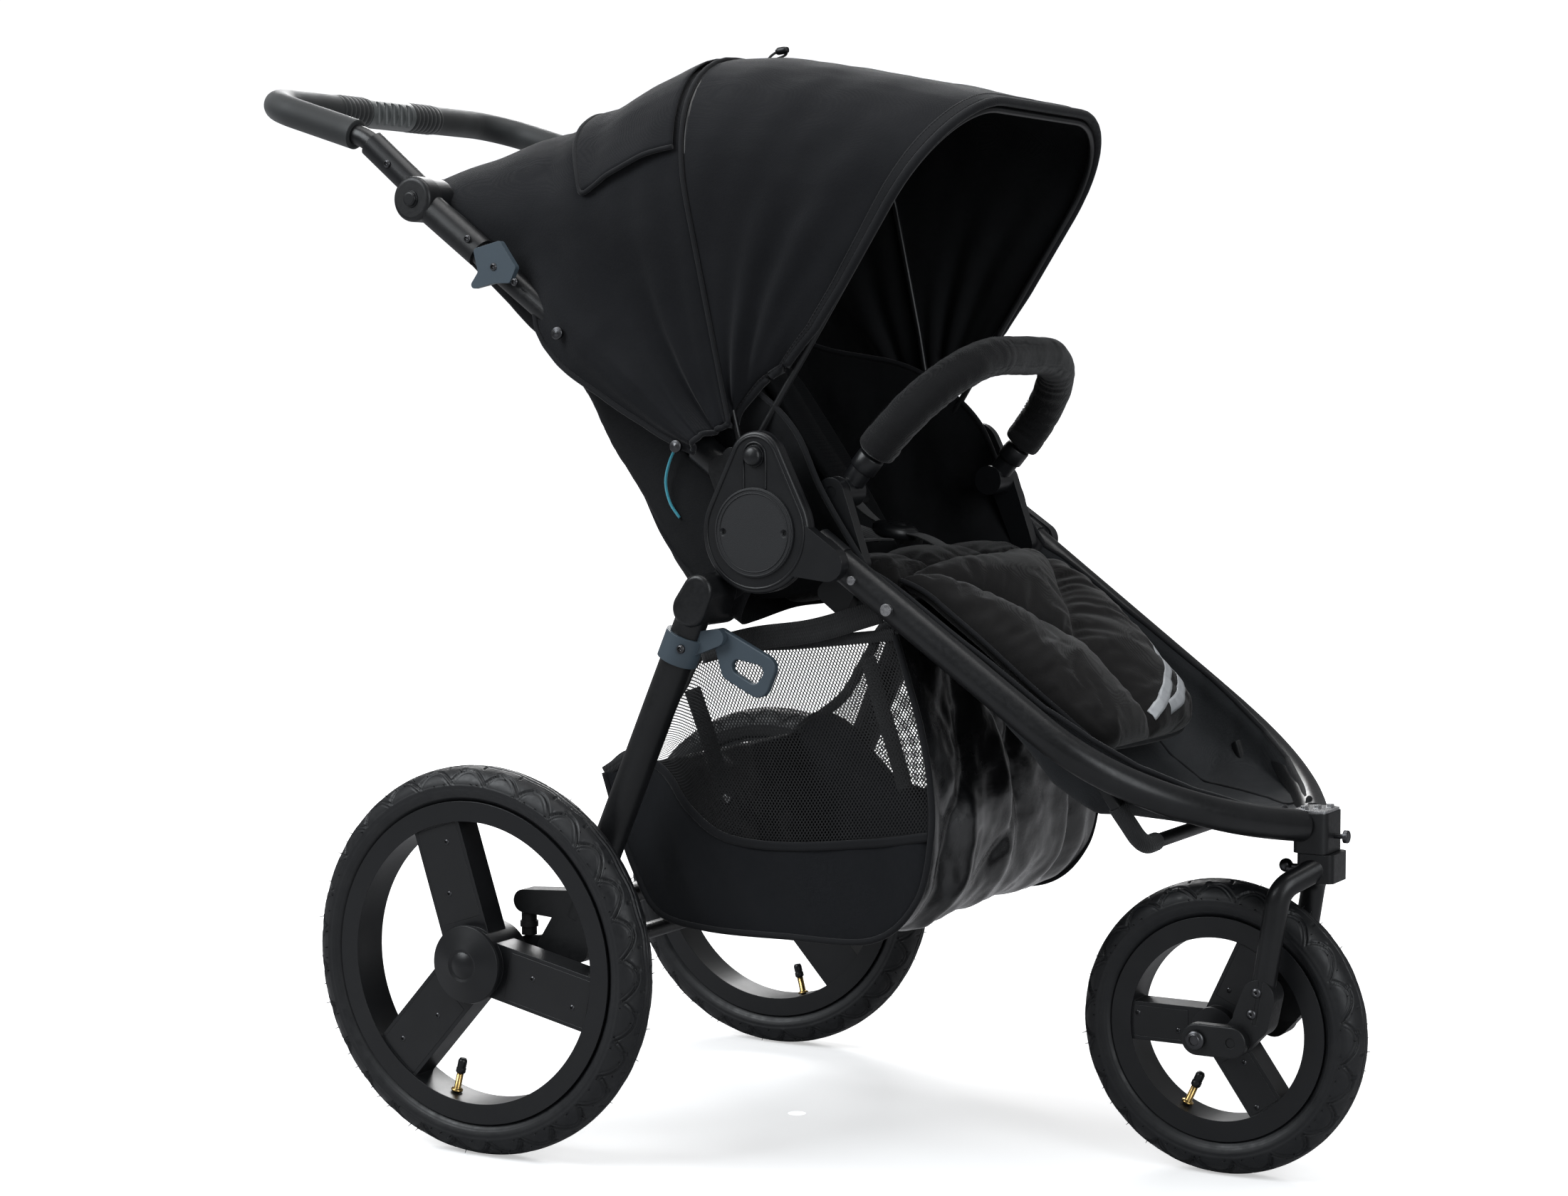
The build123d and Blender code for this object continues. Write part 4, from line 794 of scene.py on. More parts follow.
def build_canopy_hem(front_rows):
    """Wide folded binding along the front edge, rolled round the bow, with two lines of stitching."""
    rows = []
    for inner, lift in ((0.0, -0.0035), (0.0, 0.0015), (0.015, 0.0036), (0.10, 0.0034), (0.22, 0.0037), (0.36, 0.0034),
                        (0.48, 0.0036), (0.56, 0.0028), (0.585, 0.0008)):
        share = inner * 0.085
        arch = arch_points(FRONT_ANGLE + share * (SEAM_ANGLE - FRONT_ANGLE))
        rows.append([cloth_point(share, k, arch, lift) for k in range(ARCH_COLUMNS)])
    hem = sheet_object("canopy_front_binding", rows, binding_cloth)
    thicken(hem, 0.0012)
    hem.data.shade_smooth()
    follow_fan(hem)
    edge = [p + Vector((0.0022, 0, 0.0012)) for p in front_rows[0]]
    roll = tube_object("canopy_front_roll", smooth_curve(edge, 220), 0.0048, binding_cloth, up=(0.8, 0, 0.5), around=14)
    follow_fan(roll)
    for number, inner in enumerate((0.16, 0.5)):
        share = inner * 0.085
        arch = arch_points(FRONT_ANGLE + share * (SEAM_ANGLE - FRONT_ANGLE))
        line = [cloth_point(share, k, arch, 0.0045) for k in range(2, ARCH_COLUMNS - 2)]
        stitch_line(f"canopy_hem_stitch_{number}", line, "canopy_front_bow")


def stitch_line(name, line, body, length=0.0026, gap=0.0016, radius=0.00038, material=None):
    """Row of thread stitches lying along a line, as one object."""
    dense = np.array([tuple(p) for p in line], float)
    travelled = np.concatenate([[0], np.cumsum(np.linalg.norm(np.diff(dense, axis=0), axis=1))])
    mesh = bmesh.new()
    position = 0.002
    while position + length < travelled[-1]:
        ends = [Vector([np.interp(at, travelled, dense[:, axis]) for axis in range(3)])
                for at in (position, position + length)]
        along = ends[1] - ends[0]
        pill = bmesh.ops.create_cone(mesh, segments=6, radius1=radius, radius2=radius, depth=along.length, cap_ends=True)
        turn = along.to_track_quat("Z", "Y").to_matrix().to_4x4()
        bmesh.ops.transform(mesh, matrix=Matrix.Translation((ends[0] + ends[1]) / 2) @ turn, verts=pill["verts"])
        position += length + gap
    data = bpy.data.meshes.new(name)
    mesh.to_mesh(data)
    mesh.free()
    return finish_object(name, data, material or thread, body)


def build_canopy_cords(front_rows, rear_rows):
    """Raised seam over the middle bow and piping round the lower and rear edges."""
    seam = [p + (p - PIVOT).normalized() * 0.0016 for p in front_rows[-1]]
    cord_piece = tube_object("canopy_middle_seam", smooth_curve(seam, 240), 0.0024, binding_cloth, "canopy_middle_bow",
                             up=(0.97, 0, 0.22), around=10)
    edge = smooth_curve(rear_rows[-1], 320)
    piping = tube_object("canopy_rear_piping", edge, 0.0030, binding_cloth, "handle_frame", up=(0.7, 0, 0.7), around=10)
    for column, side_name in ((0, "right"), (ARCH_COLUMNS - 1, "left")):
        lower = [row[column] for row in front_rows] + [row[column] for row in rear_rows[1:]]
        tape = tube_object(f"canopy_foot_piping_{side_name}", smooth_curve(lower[::4], 60), 0.0030, binding_cloth,
                           "handle_frame", up=(0, 1, 0), around=10)


def build_window_flap():
    """Flap over the rear window, bound at its edges and lifting a little at the shoulders."""
    columns = range(int(ARCH_COLUMNS * 0.265), int(ARCH_COLUMNS * 0.735) + 1)
    rows = []
    for share in np.linspace(0.035, 0.53, 22):
        arch = arch_points(SEAM_ANGLE + share * (REAR_ANGLE - SEAM_ANGLE))
        row = []
        for k in columns:
            near = min(k - columns[0], columns[-1] - k) / len(columns)
            corner = max(0.0, 1 - near / 0.10)
            lift = 0.0052 + 0.0065 * corner * math.sin(math.pi * share / 0.56)
            row.append(cloth_point(share, k, arch, lift, rear=True))
        rows.append(row)
    flap = sheet_object("canopy_window_flap", rows, canopy_cloth)
    thicken(flap, 0.0016)
    flap.data.shade_smooth()
    follow_fan(flap)
    border = [row[0] for row in rows] + list(rows[-1])[1:-1] + [row[-1] for row in reversed(rows)]
    trim = tube_object("canopy_flap_binding", smooth_curve(border[::3], 200), 0.0026, binding_cloth, up=(0, 0, 1), around=8)
    follow_fan(trim)


def build_snaps():
    """Dark press studs that hold the canopy's lower flap, two on each side."""
    for side_name, side in (("right", -1), ("left", 1)):
        for number, (x, z, y) in enumerate(((0.068, 0.850, 0.2575), (0.212, 0.736, 0.2605))):
            cap = [(0.0001, 0.0030), (0.0028, 0.0026), (0.0034, 0.0020), (0.0052, 0.0026), (0.0064, 0.0018),
                   (0.0068, 0.0), (0.0062, -0.002)]
            lathe_object(f"canopy_snap_{side_name}_{number}", cap[::-1], (x, side * y, z), (0, side, 0), dark_steel,
                         "handle_frame", around=28)


def build_zip_pull(seam_row):
    """Zip slider and its corded pull at the top of the middle seam."""
    top = Vector(seam_row[ARCH_COLUMNS // 2])
    base = top + Vector((-0.004, -0.004, 0.004))
    loop = [base, base + Vector((0.010, -0.008, 0.006)), base + Vector((0.022, -0.012, 0.010)),
            base + Vector((0.030, -0.010, 0.009)), base + Vector((0.024, -0.004, 0.006)), base + Vector((0.010, 0.0, 0.003))]
    tube_object("canopy_zip_cord", smooth_curve(loop, 40, closed=True), 0.0014, strap_web, "canopy_middle_bow",
                up=(0, 0, 1), around=8, closed=True)
    grip = [base + Vector((0.020, -0.013, 0.0095)), base + Vector((0.026, -0.0135, 0.0105)),
            base + Vector((0.034, -0.013, 0.0110))]
    tube_object("canopy_zip_pull", smooth_curve(grip, 8), [0.0030, 0.0040, 0.0042, 0.0042, 0.0042, 0.0042, 0.0038, 0.0028],
                nylon, "canopy_middle_bow", up=(0, 0, 1), around=12)


thread = woven("stitch_thread", (0.018, 0.018, 0.019), 0.0005, sheen=0.1)
build_canopy()
# ---------------------------------------------------------------- padded seat

PAD_PLAIN, PAD_CAP = 0.0045, 0.011      # vertex spacing and largest cloth movement, in metres


def puff(piece, held, pressure=4.0, growth=0.035):
    """Inflate a closed padded form by cloth simulation, holding it where held is 1, and keep the result."""
    before = np.array([tuple(v.co) for v in piece.data.vertices])
    group = piece.vertex_groups.new(name="held")
    for index, weight in enumerate(held):
        if weight > 0.02:
            group.add([index], float(weight), "REPLACE")
    modifier = piece.modifiers.new("padding", "CLOTH")
    settings = modifier.settings
    settings.quality = 5
    settings.mass = 0.12
    settings.tension_stiffness = settings.compression_stiffness = 18
    settings.shear_stiffness = 6
    settings.bending_stiffness = 0.12
    settings.use_pressure = True
    settings.uniform_pressure_force = pressure
    settings.vertex_group_mass = "held"
    settings.shrink_min = -growth
    settings.effector_weights.gravity = 0
    modifier.collision_settings.use_collision = False
    modifier.point_cache.frame_start, modifier.point_cache.frame_end = 1, 20
    for step in range(1, 21):
        bpy.context.scene.frame_set(step)
    apply_modifiers(piece)
    bpy.context.scene.frame_set(1)
    after = np.array([tuple(v.co) for v in piece.data.vertices])
    move = after - before
    length = np.linalg.norm(move, axis=1, keepdims=True)
    capped = before + move * np.minimum(1, PAD_CAP / np.maximum(length, 1e-9))
    piece.data.vertices.foreach_set("co", capped.ravel())


def seam_distance(places, seams):
    """Distance from each (along, across) place to the nearest seam, and how far along that seam it is."""
    best = np.full(places.shape[:-1], 1.0)
    along = np.zeros_like(best)
    for line in seams:
        for start, end in zip(line[:-1], line[1:]):
            a, b = np.array(start), np.array(end)
            share = np.clip(((places - a) @ (b - a)) / ((b - a) @ (b - a)), 0, 1)
            away = np.linalg.norm(places - a - share[..., None] * (b - a), axis=-1)
            closer = away < best
            best = np.where(closer, away, best)
            along = np.where(closer, share * np.linalg.norm(b - a), along)
    return best, along


def pad_object(name, path, half, body, loft, back, seams, material, round_end=0.0, pucker=0.0016, sag=0.0):
    """Padded panel. path holds (x, z) of its middle, half its half width; loft and back are the padding above
    and below it; seams are lines in (along, across) metres that stay held down; sag drops its edges."""
    path = np.array(path, float)
    travelled = np.concatenate([[0], np.cumsum(np.linalg.norm(np.diff(path, axis=0), axis=1))])
    rows = max(12, int(travelled[-1] / PAD_PLAIN))
    columns = max(12, int(2 * max(half) / PAD_PLAIN))
    at = np.linspace(0, travelled[-1], rows)
    middle = smooth_curve(path, rows)
    heading = np.gradient(middle, axis=0)
    heading /= np.linalg.norm(heading, axis=1)[:, None]
    normal = np.stack([-heading[:, 1], heading[:, 0]], axis=1)
    width = np.interp(at, travelled, half)
    if round_end:
        into = np.clip((at - (at[-1] - round_end)) / round_end, 0, 1)
        width = width - round_end * (1 - np.sqrt(1 - into ** 2)) * 0.85
    share = np.sin(np.linspace(-1, 1, columns) * math.pi / 2 * 0.985) / math.sin(math.pi / 2 * 0.985)
    share = 0.6 * np.linspace(-1, 1, columns) + 0.4 * share
    across = width[:, None] * share[None, :]
    places = np.stack([np.broadcast_to(at[:, None], across.shape), across], axis=-1)
    rim = np.minimum(np.minimum(at[:, None], at[-1] - at[:, None]), width[:, None] - np.abs(across))
    rim = np.maximum(rim, 0)
    seam, along = seam_distance(places, seams)
    dome = np.sqrt(np.clip(1 - (1 - np.minimum(rim / (loft * 1.1), 1)) ** 2, 0, 1))
    valley = 1 - 0.72 * np.exp(-seam / 0.013)
    ripple = np.sin(along * 2 * math.pi / 0.017 + 3 * np.sin(along * 61)) * np.exp(-seam / 0.022) * (1 - np.exp(-seam / 0.005))
    edge_ripple = np.sin((at[:, None] + 0 * across) * 2 * math.pi / 0.021 + 2.4 * np.sin(at[:, None] * 47)) * np.exp(-rim / 0.02)
    top = loft * dome * valley + pucker * (ripple + 0.7 * edge_ripple * dome)
    drop = sag * np.abs(share[None, :]) ** 2.2 + 0 * across
    under = -back * np.sqrt(np.clip(1 - (1 - np.minimum(rim / (back * 1.4), 1)) ** 2, 0, 1))
    vertices, index = [], np.zeros((2, rows, columns), int)
    for level, rise in enumerate((top, under)):
        for i in range(rows):
            for j in range(columns):
                on_rim = i in (0, rows - 1) or j in (0, columns - 1)
                if level and on_rim:
                    index[1, i, j] = index[0, i, j]
                    continue
                lift = rise[i, j] - drop[i, j]
                index[level, i, j] = len(vertices)
                place = Vector((middle[i, 0] + normal[i, 0] * lift, across[i, j], middle[i, 1] + normal[i, 1] * lift))
                place += Vector((normal[i, 0], 0, normal[i, 1])) * (0 if on_rim or level else wrinkle(place, 0.05, 0.0016))
                vertices.append(place)
    faces, held = [], np.zeros(len(vertices))
    for level in (0, 1):
        for i in range(rows - 1):
            for j in range(columns - 1):
                ring = [index[level, i, j], index[level, i, j + 1], index[level, i + 1, j + 1], index[level, i + 1, j]]
                faces.append(ring if level else ring[::-1])
    for i in range(rows):
        for j in range(columns):
            held[index[1, i, j]] = 1.0
            held[index[0, i, j]] = 1.0 if seam[i, j] < 0.0035 or rim[i, j] < 0.001 else 0.0
    mesh = bpy.data.meshes.new(name)
    mesh.from_pydata(vertices, [], faces)
    piece = finish_object(name, mesh, material)
    weld(piece, 1e-6)
    if len(piece.data.vertices) == len(held):
        puff(piece, held)
    subdivide(piece)
    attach(piece, body)

    def place_on(s, y, lift=0.0):
        """Point on the padded face at s along and y across, plus a lift off it."""
        i = min(max(s / at[-1] * (rows - 1), 0.0), rows - 1.001)
        first, part = int(i), i - int(i)
        rises = [np.interp(y, across[row], top[row] - drop[row]) for row in (first, first + 1)]
        rise = rises[0] * (1 - part) + rises[1] * part + lift
        spot = middle[first] * (1 - part) + middle[first + 1] * part
        out = normal[first] * (1 - part) + normal[first + 1] * part
        return Vector((spot[0] + out[0] * rise, y, spot[1] + out[1] * rise))

    border = [place_on(s, sign * float(np.interp(s, at, width)), -0.0005)
              for sign, order in ((-1, at), (1, at[::-1])) for s in order[::4]]
    return piece, place_on, border, at[-1]


def drape(piece, target, gap):
    """Lay a flat trim on a padded face: each point goes to the face's nearest point plus the gap."""
    bpy.context.view_layer.update()
    for vertex in piece.data.vertices:
        found, spot, normal, face = target.closest_point_on_mesh(vertex.co)
        if found:
            vertex.co = spot + normal * gap


SEAT_PATH = ((0.268, 0.584), (0.300, 0.590), (0.335, 0.596), (0.372, 0.600), (0.409, 0.598))
LEG_PATH = ((0.410, 0.602), (0.436, 0.592), (0.466, 0.569), (0.496, 0.545), (0.524, 0.520), (0.550, 0.496),
            (0.576, 0.473), (0.598, 0.452), (0.611, 0.434))
LEG_HALF = (0.154, 0.153, 0.150, 0.146, 0.140, 0.133, 0.125, 0.118, 0.112)
LEG_APEX = 0.143
BACK_PATH = ((0.246, 0.596), (0.222, 0.640), (0.190, 0.690), (0.158, 0.738), (0.126, 0.786), (0.092, 0.833))


def build_seat():
    """Seat cushion, quilted leg pad with piping and reflective stripes, and the backrest pad."""
    seat, on_seat, seat_border, _ = pad_object(
        "seat_cushion", SEAT_PATH, (0.152, 0.156, 0.158, 0.158, 0.155), "chassis", 0.022, 0.014,
        [((0.035, -0.15), (0.035, 0.15)), ((0.035, -0.07), (0.14, -0.07)), ((0.035, 0.07), (0.14, 0.07))], seat_cloth)
    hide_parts("seat_pad")
    length = 0.262
    seams = [((0.0, -0.150), (LEG_APEX, 0.0)), ((0.0, 0.150), (LEG_APEX, 0.0)), ((LEG_APEX, 0.0), (length, 0.0))]
    leg, on_leg, leg_border, length = pad_object(
        "leg_pad", LEG_PATH, LEG_HALF, "chassis", 0.030, 0.014, seams, seat_cloth, round_end=0.040)
    piping = smooth_curve(leg_border, 260)
    tube_object("leg_pad_piping", piping, 0.0026, binding_cloth, "chassis", up=(0.6, 0.1, 0.8), around=8)
    for number, seam in enumerate(seams):
        (s0, y0), (s1, y1) = seam
        line = [on_leg(s0 + (s1 - s0) * t, y0 + (y1 - y0) * t, 0.0006) for t in np.linspace(0.03, 0.97, 60)]
        stitches = stitch_line(f"leg_pad_stitch_{number}", line, "chassis")
    for number, (start, end) in enumerate((((0.158, 0.125), (0.246, 0.006)), ((0.190, 0.118), (0.247, 0.036)))):
        build_stripe(f"leg_pad_stripe_{number}", leg, on_leg, start, end, 0.0115)
    back, on_back, back_border, _ = pad_object(
        "backrest_pad", BACK_PATH, (0.150, 0.152, 0.152, 0.150, 0.144, 0.130), "backrest", 0.020, 0.016,
        [((0.02, -0.075), (0.27, -0.075)), ((0.02, 0.075), (0.27, 0.075)), ((0.075, -0.075), (0.075, 0.075)),
         ((0.19, -0.075), (0.19, 0.075))], lining_cloth, round_end=0.045)
    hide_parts("backrest")


def build_stripe(name, leg, on_leg, start, end, width, count=120):
    """Reflective tape that curves across the leg pad from its edge to its tip."""
    along = np.linspace(0, 1, count)
    bow = 0.016 * np.sin(math.pi * along)
    s = start[0] + (end[0] - start[0]) * along + bow * 0.8
    y = start[1] + (end[1] - start[1]) * along + bow * 0.6
    rows = []
    for k in range(count):
        before, after = max(k - 1, 0), min(k + 1, count - 1)
        ahead = np.array((s[after] - s[before], y[after] - y[before]))
        ahead /= np.linalg.norm(ahead)
        rows.append([on_leg(s[k] - ahead[1] * w, y[k] + ahead[0] * w, 0.004)
                     for w in np.linspace(-width / 2, width / 2, 5)])
    tape = sheet_object(name, rows, tape_silver)
    drape(tape, leg, 0.0006)
    thicken(tape, 0.0004)
    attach(tape, "chassis")


build_seat()
# ---------------------------------------------------------------- bumper bar and handlebar grips

BUMPER_PIVOT, BUMPER_TILT = Vector((0.355, 0, 0.690)), math.radians(50.0)


def bumper_path(count):
    """Middle line of the bumper bar's sleeve, from the right end over to the left end."""
    half, reach, bend, start = 0.168, 0.177, 0.122, 0.052
    turns = np.linspace(0, math.pi / 2, 14)
    side = [(-half, start)] + [(-half + bend * (1 - math.cos(t)), reach - bend * (1 - math.sin(t))) for t in turns]
    outline = side + [(-y, r) for y, r in reversed(side)]
    return smooth_curve([BUMPER_PIVOT + Vector((r * math.cos(BUMPER_TILT), y, r * math.sin(BUMPER_TILT)))
                         for y, r in outline], count)


def build_bumper_sleeve():
    """Zipped fabric sleeve over the bumper foam: bunched on the inside of its bends, with hemmed ends."""
    path = bumper_path(300)
    side, rise = path_frames(path, (-math.sin(BUMPER_TILT), 0, math.cos(BUMPER_TILT)))
    turning = np.linalg.norm(np.gradient(np.gradient(path, axis=0), axis=0), axis=1)
    turning = np.convolve(turning, np.ones(15) / 15, mode="same") / turning.max()
    step = np.linalg.norm(np.diff(path, axis=0), axis=1).mean()
    length = step * len(path)
    rows = []
    for k, (place, s, r) in enumerate(zip(path, side, rise)):
        at = k * step
        end = min(at, length - at)
        row = []
        for turn in np.linspace(0, 2 * math.pi, 56, endpoint=False):
            direction = Vector(math.cos(turn) * s + math.sin(turn) * r)
            inner = max(0.0, -math.cos(turn))
            fold = math.sin(at / 0.0026 + 2.2 * math.sin(at * 70) + 1.3 * math.sin(turn * 2))
            depth = 0.0023 * turning[k] * (0.35 + inner) * fold
            depth += wrinkle(Vector(place) + direction * 0.02, 0.03, 0.0008)
            if end < 0.020:
                depth += 0.0005 - 0.0009 * math.exp(-((end - 0.0185) / 0.0012) ** 2)
            seam = abs((turn - math.pi * 0.5 + math.pi) % (2 * math.pi) - math.pi)
            depth -= 0.0013 * math.exp(-(seam / 0.055) ** 2)
            depth += 0.0007 * math.exp(-((seam - 0.16) / 0.06) ** 2)
            radius = 0.0198 + depth - 0.0035 * math.exp(-end / 0.0015)
            row.append(Vector(place) + direction * radius)
        rows.append(row)
    for index, place in ((0, path[0]), (-1, path[-1])):
        mouth = [Vector(place) + (p - Vector(place)) * 0.55 for p in rows[index]]
        rows.insert(0, mouth) if index == 0 else rows.append(mouth)
    sleeve = sheet_object("bumper_sleeve", rows, bumper_cloth, "bumper_bar", closed=True)
    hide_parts("bumper_pad")
    for number, offset in enumerate((0.17, -0.17)):
        turn = math.pi / 2 + offset
        line = [Vector(p) + Vector(math.cos(turn) * s + math.sin(turn) * r) * 0.0206
                for p, s, r in zip(path[6:-6], side[6:-6], rise[6:-6])]
        stitch_line(f"bumper_seam_stitch_{number}", line, "bumper_bar")


def grip_radius(at):
    """Radius of the handlebar sleeve at a distance from the centre grip: ribs beside it, then smooth foam."""
    plain = 0.0163
    if at < 0.046:
        return plain + 0.0011 * abs(math.sin(math.pi * at / 0.0077)) ** 0.6
    return plain + 0.0005 * math.exp(-((at - 0.050) / 0.0015) ** 2)


def build_grip_sleeves():
    """Foam sleeves on the handlebar, one each side of the centre grip, ribbed where the hands meet it."""
    for side_name, side in (("right", -1), ("left", 1)):
        path = handlebar_line(side)
        travelled = np.concatenate([[0], np.cumsum(np.linalg.norm(np.diff(path, axis=0), axis=1))])
        radii = [grip_radius(at) for at in travelled]
        piece = tube_object(f"grip_sleeve_{side_name}", path, radii, foam, "handlebar", up=(0.3, 0, 1), around=40)
        if side < 0:
            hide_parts("grip_sleeves")


GRIP_CORNER, GRIP_BEND = Vector((-0.346, 0.222, 1.106)), Vector((-0.196, 0.225, 1.0595))
GRIP_BEND_R, GRIP_SLEEVE_REACH = 0.052, 0.1403


def handlebar_line(side):
    """Middle line of one foam sleeve, from beside the centre grip round the corner to its end."""
    inward, downward = Vector((0, -1, 0)), (GRIP_BEND - GRIP_CORNER).normalized()
    centre = GRIP_CORNER + (inward + downward) * GRIP_BEND_R
    start = Vector((GRIP_CORNER.x, 0.041, GRIP_CORNER.z))
    line = [start.lerp(GRIP_CORNER + inward * GRIP_BEND_R, t) for t in np.linspace(0, 1, 16)[:-1]]
    line += [centre - GRIP_BEND_R * (downward * math.cos(t) + inward * math.sin(t))
             for t in np.linspace(0, math.pi / 2, 10)]
    line += [GRIP_CORNER + downward * reach for reach in np.linspace(GRIP_BEND_R, GRIP_SLEEVE_REACH, 6)[1:]]
    return smooth_curve([(p.x, side * p.y, p.z) for p in line], 420)


build_bumper_sleeve()
build_grip_sleeves()
# ---------------------------------------------------------------- seat shell, footwell and side fabric

TUBE_LINE = ((0.378, 0.2210, 0.622), (0.450, 0.2180, 0.570), (0.520, 0.2150, 0.519), (0.591, 0.2120, 0.467),
             (0.634, 0.2000, 0.438), (0.674, 0.1800, 0.414), (0.714, 0.1420, 0.393), (0.748, 0.0920, 0.377),
             (0.770, 0.0520, 0.368))
SHELL_TUBE = ((0.300, 0.640), (0.225, 0.705), (0.140, 0.775), (0.050, 0.850), (-0.040, 0.925), (-0.100, 0.972))
SHELL_EDGE = ((0.255, 0.556), (0.196, 0.596), (0.128, 0.700), (0.050, 0.815), (-0.055, 0.905), (-0.118, 0.962))
SHELL_BACK = ((0.262, 0.566), (0.214, 0.606), (0.132, 0.726), (0.074, 0.826), (-0.060, 0.915), (-0.150, 0.985))


def build_seat_shell():
    """Hammock of cloth behind and beside the seat: held by the upper tubes, hugging the backrest in the middle."""
    count = 90
    tube, edge, back = (smooth_curve(points, count) for points in (SHELL_TUBE, SHELL_EDGE, SHELL_BACK))
    rows, weights = [], []
    for k in range(count):
        share = k / (count - 1)
        half = [(-0.2125, tube[k]), (-0.2150, tube[k] * 0.55 + edge[k] * 0.45), (-0.2160, tube[k] * 0.2 + edge[k] * 0.8),
                (-0.2060, edge[k]), (-0.1750, edge[k] * 0.55 + back[k] * 0.45 + (-0.004, -0.004)), (-0.110, back[k]),
                (-0.040, back[k])]
        points = [(p[0], y, p[1]) for y, p in half]
        points += [(x, -y, z) for x, y, z in reversed(points)]
        row = []
        for place in smooth_curve(points, 120):
            place = Vector(place)
            loose = math.sin(math.pi * share) ** 0.5
            place.y += math.copysign(wrinkle(place, 0.06, 0.0022) * loose, place.y)
            place.x += 0.0030 * math.sin(place.z * 52 + 9 * place.y) * loose * min(1.0, abs(place.y) / 0.12)
            place.z += wrinkle(place + Vector((1, 0, 0)), 0.09, 0.0030) * loose
            row.append(place)
        rows.append(row)
    shell = sheet_object("seat_shell_cloth", rows, panel_cloth)
    thicken(shell, 0.0018)
    shell.data.shade_smooth()
    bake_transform(shell)
    for vertex in shell.data.vertices:
        inward = min(max((0.205 - abs(vertex.co.y)) / 0.07, 0.0), 1.0)
        below = min(max((0.930 - vertex.co.z) / 0.10, 0.0), 1.0)
        weights.append(inward * below)
    for side_name, column in (("right", 17), ("left", 102)):
        line = [row[column] + Vector((-0.0010, 0, -0.0012)) for row in rows[4:-4:3]]
        seam = tube_object(f"seat_shell_seam_{side_name}", smooth_curve(line, 120), 0.0020, binding_cloth, "handle_frame",
                           up=(0, 1, 0), around=8)


def side_edge(x):
    """(y, z) of the right side tube's middle at x, y given as a distance."""
    table = np.array(TUBE_LINE)
    return np.interp(x, table[:, 0], table[:, 1]), np.interp(x, table[:, 0], table[:, 2])


def build_footwell():
    """Sling between the side tubes: side walls beside the leg pad, then a floor under the feet."""
    rows, rims = [], []
    for x in np.linspace(0.352, 0.772, 110):
        y_tube, z_tube = side_edge(max(x, 0.378))
        if x < 0.378:
            z_tube += (0.378 - x) * 0.72
        rise = np.interp(x, (0.35, 0.42, 0.60, 0.70, 0.772), (0.0, 0.014, 0.020, 0.016, 0.010))
        floor = np.interp(x, (0.352, 0.43, 0.52, 0.58, 0.62, 0.68, 0.74, 0.772),
                          (0.572, 0.560, 0.470, 0.400, 0.378, 0.371, 0.369, 0.374))
        inner = np.interp(x, (0.352, 0.50, 0.62, 0.70, 0.75, 0.772), (0.172, 0.160, 0.150, 0.122, 0.070, 0.034))
        y_in = y_tube - 0.0175
        half = [(-y_in - 0.004, z_tube + rise), (-y_in, z_tube + 0.4 * rise), (-y_in + 0.003, z_tube - 0.012),
                (-0.5 * (y_in + inner) - 0.006, 0.45 * z_tube + 0.55 * floor), (-inner, floor + 0.008),
                (-0.78 * inner, floor), (-0.30 * inner, floor - 0.002)]
        points = [(x, y, z) for y, z in half]
        points += [(px, -y, z) for px, y, z in reversed(points)]
        row = []
        for place in smooth_curve(points, 110):
            place = Vector(place)
            inside = min(1.0, (y_tube - abs(place.y)) / 0.05)
            place.z += wrinkle(place, 0.08, 0.0026) * inside + 0.0016 * math.sin(70 * place.x + 40 * abs(place.y)) * inside
            row.append(place)
        rows.append(row)
        rims.append((row[0], row[-1]))
    sling = sheet_object("footwell_sling", rows, footwell_cloth, "chassis")
    thicken(sling, 0.0024)
    sling.data.shade_smooth()
    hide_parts("footwell")
    for index, side_name in enumerate(("right", "left")):
        line = smooth_curve([rim[index] for rim in rims], 200)
        tube_object(f"footwell_piping_{side_name}", line, 0.0028, binding_cloth, "chassis", up=(0, 0, 1), around=8)
        column = 26 if index == 0 else 83
        line = smooth_curve([row[column] + Vector((0, 0, 0.0014)) for row in rows[24::3]], 160)
        tube_object(f"footwell_seam_{side_name}", line, 0.0016, binding_cloth, "chassis", up=(0, 0, 1), around=8)
    front = smooth_curve([p + Vector((0.0008, 0, 0.001)) for p in rows[-1]], 90)
    tube_object("footwell_front_piping", front, 0.0028, binding_cloth, "chassis", up=(1, 0, 0), around=8)


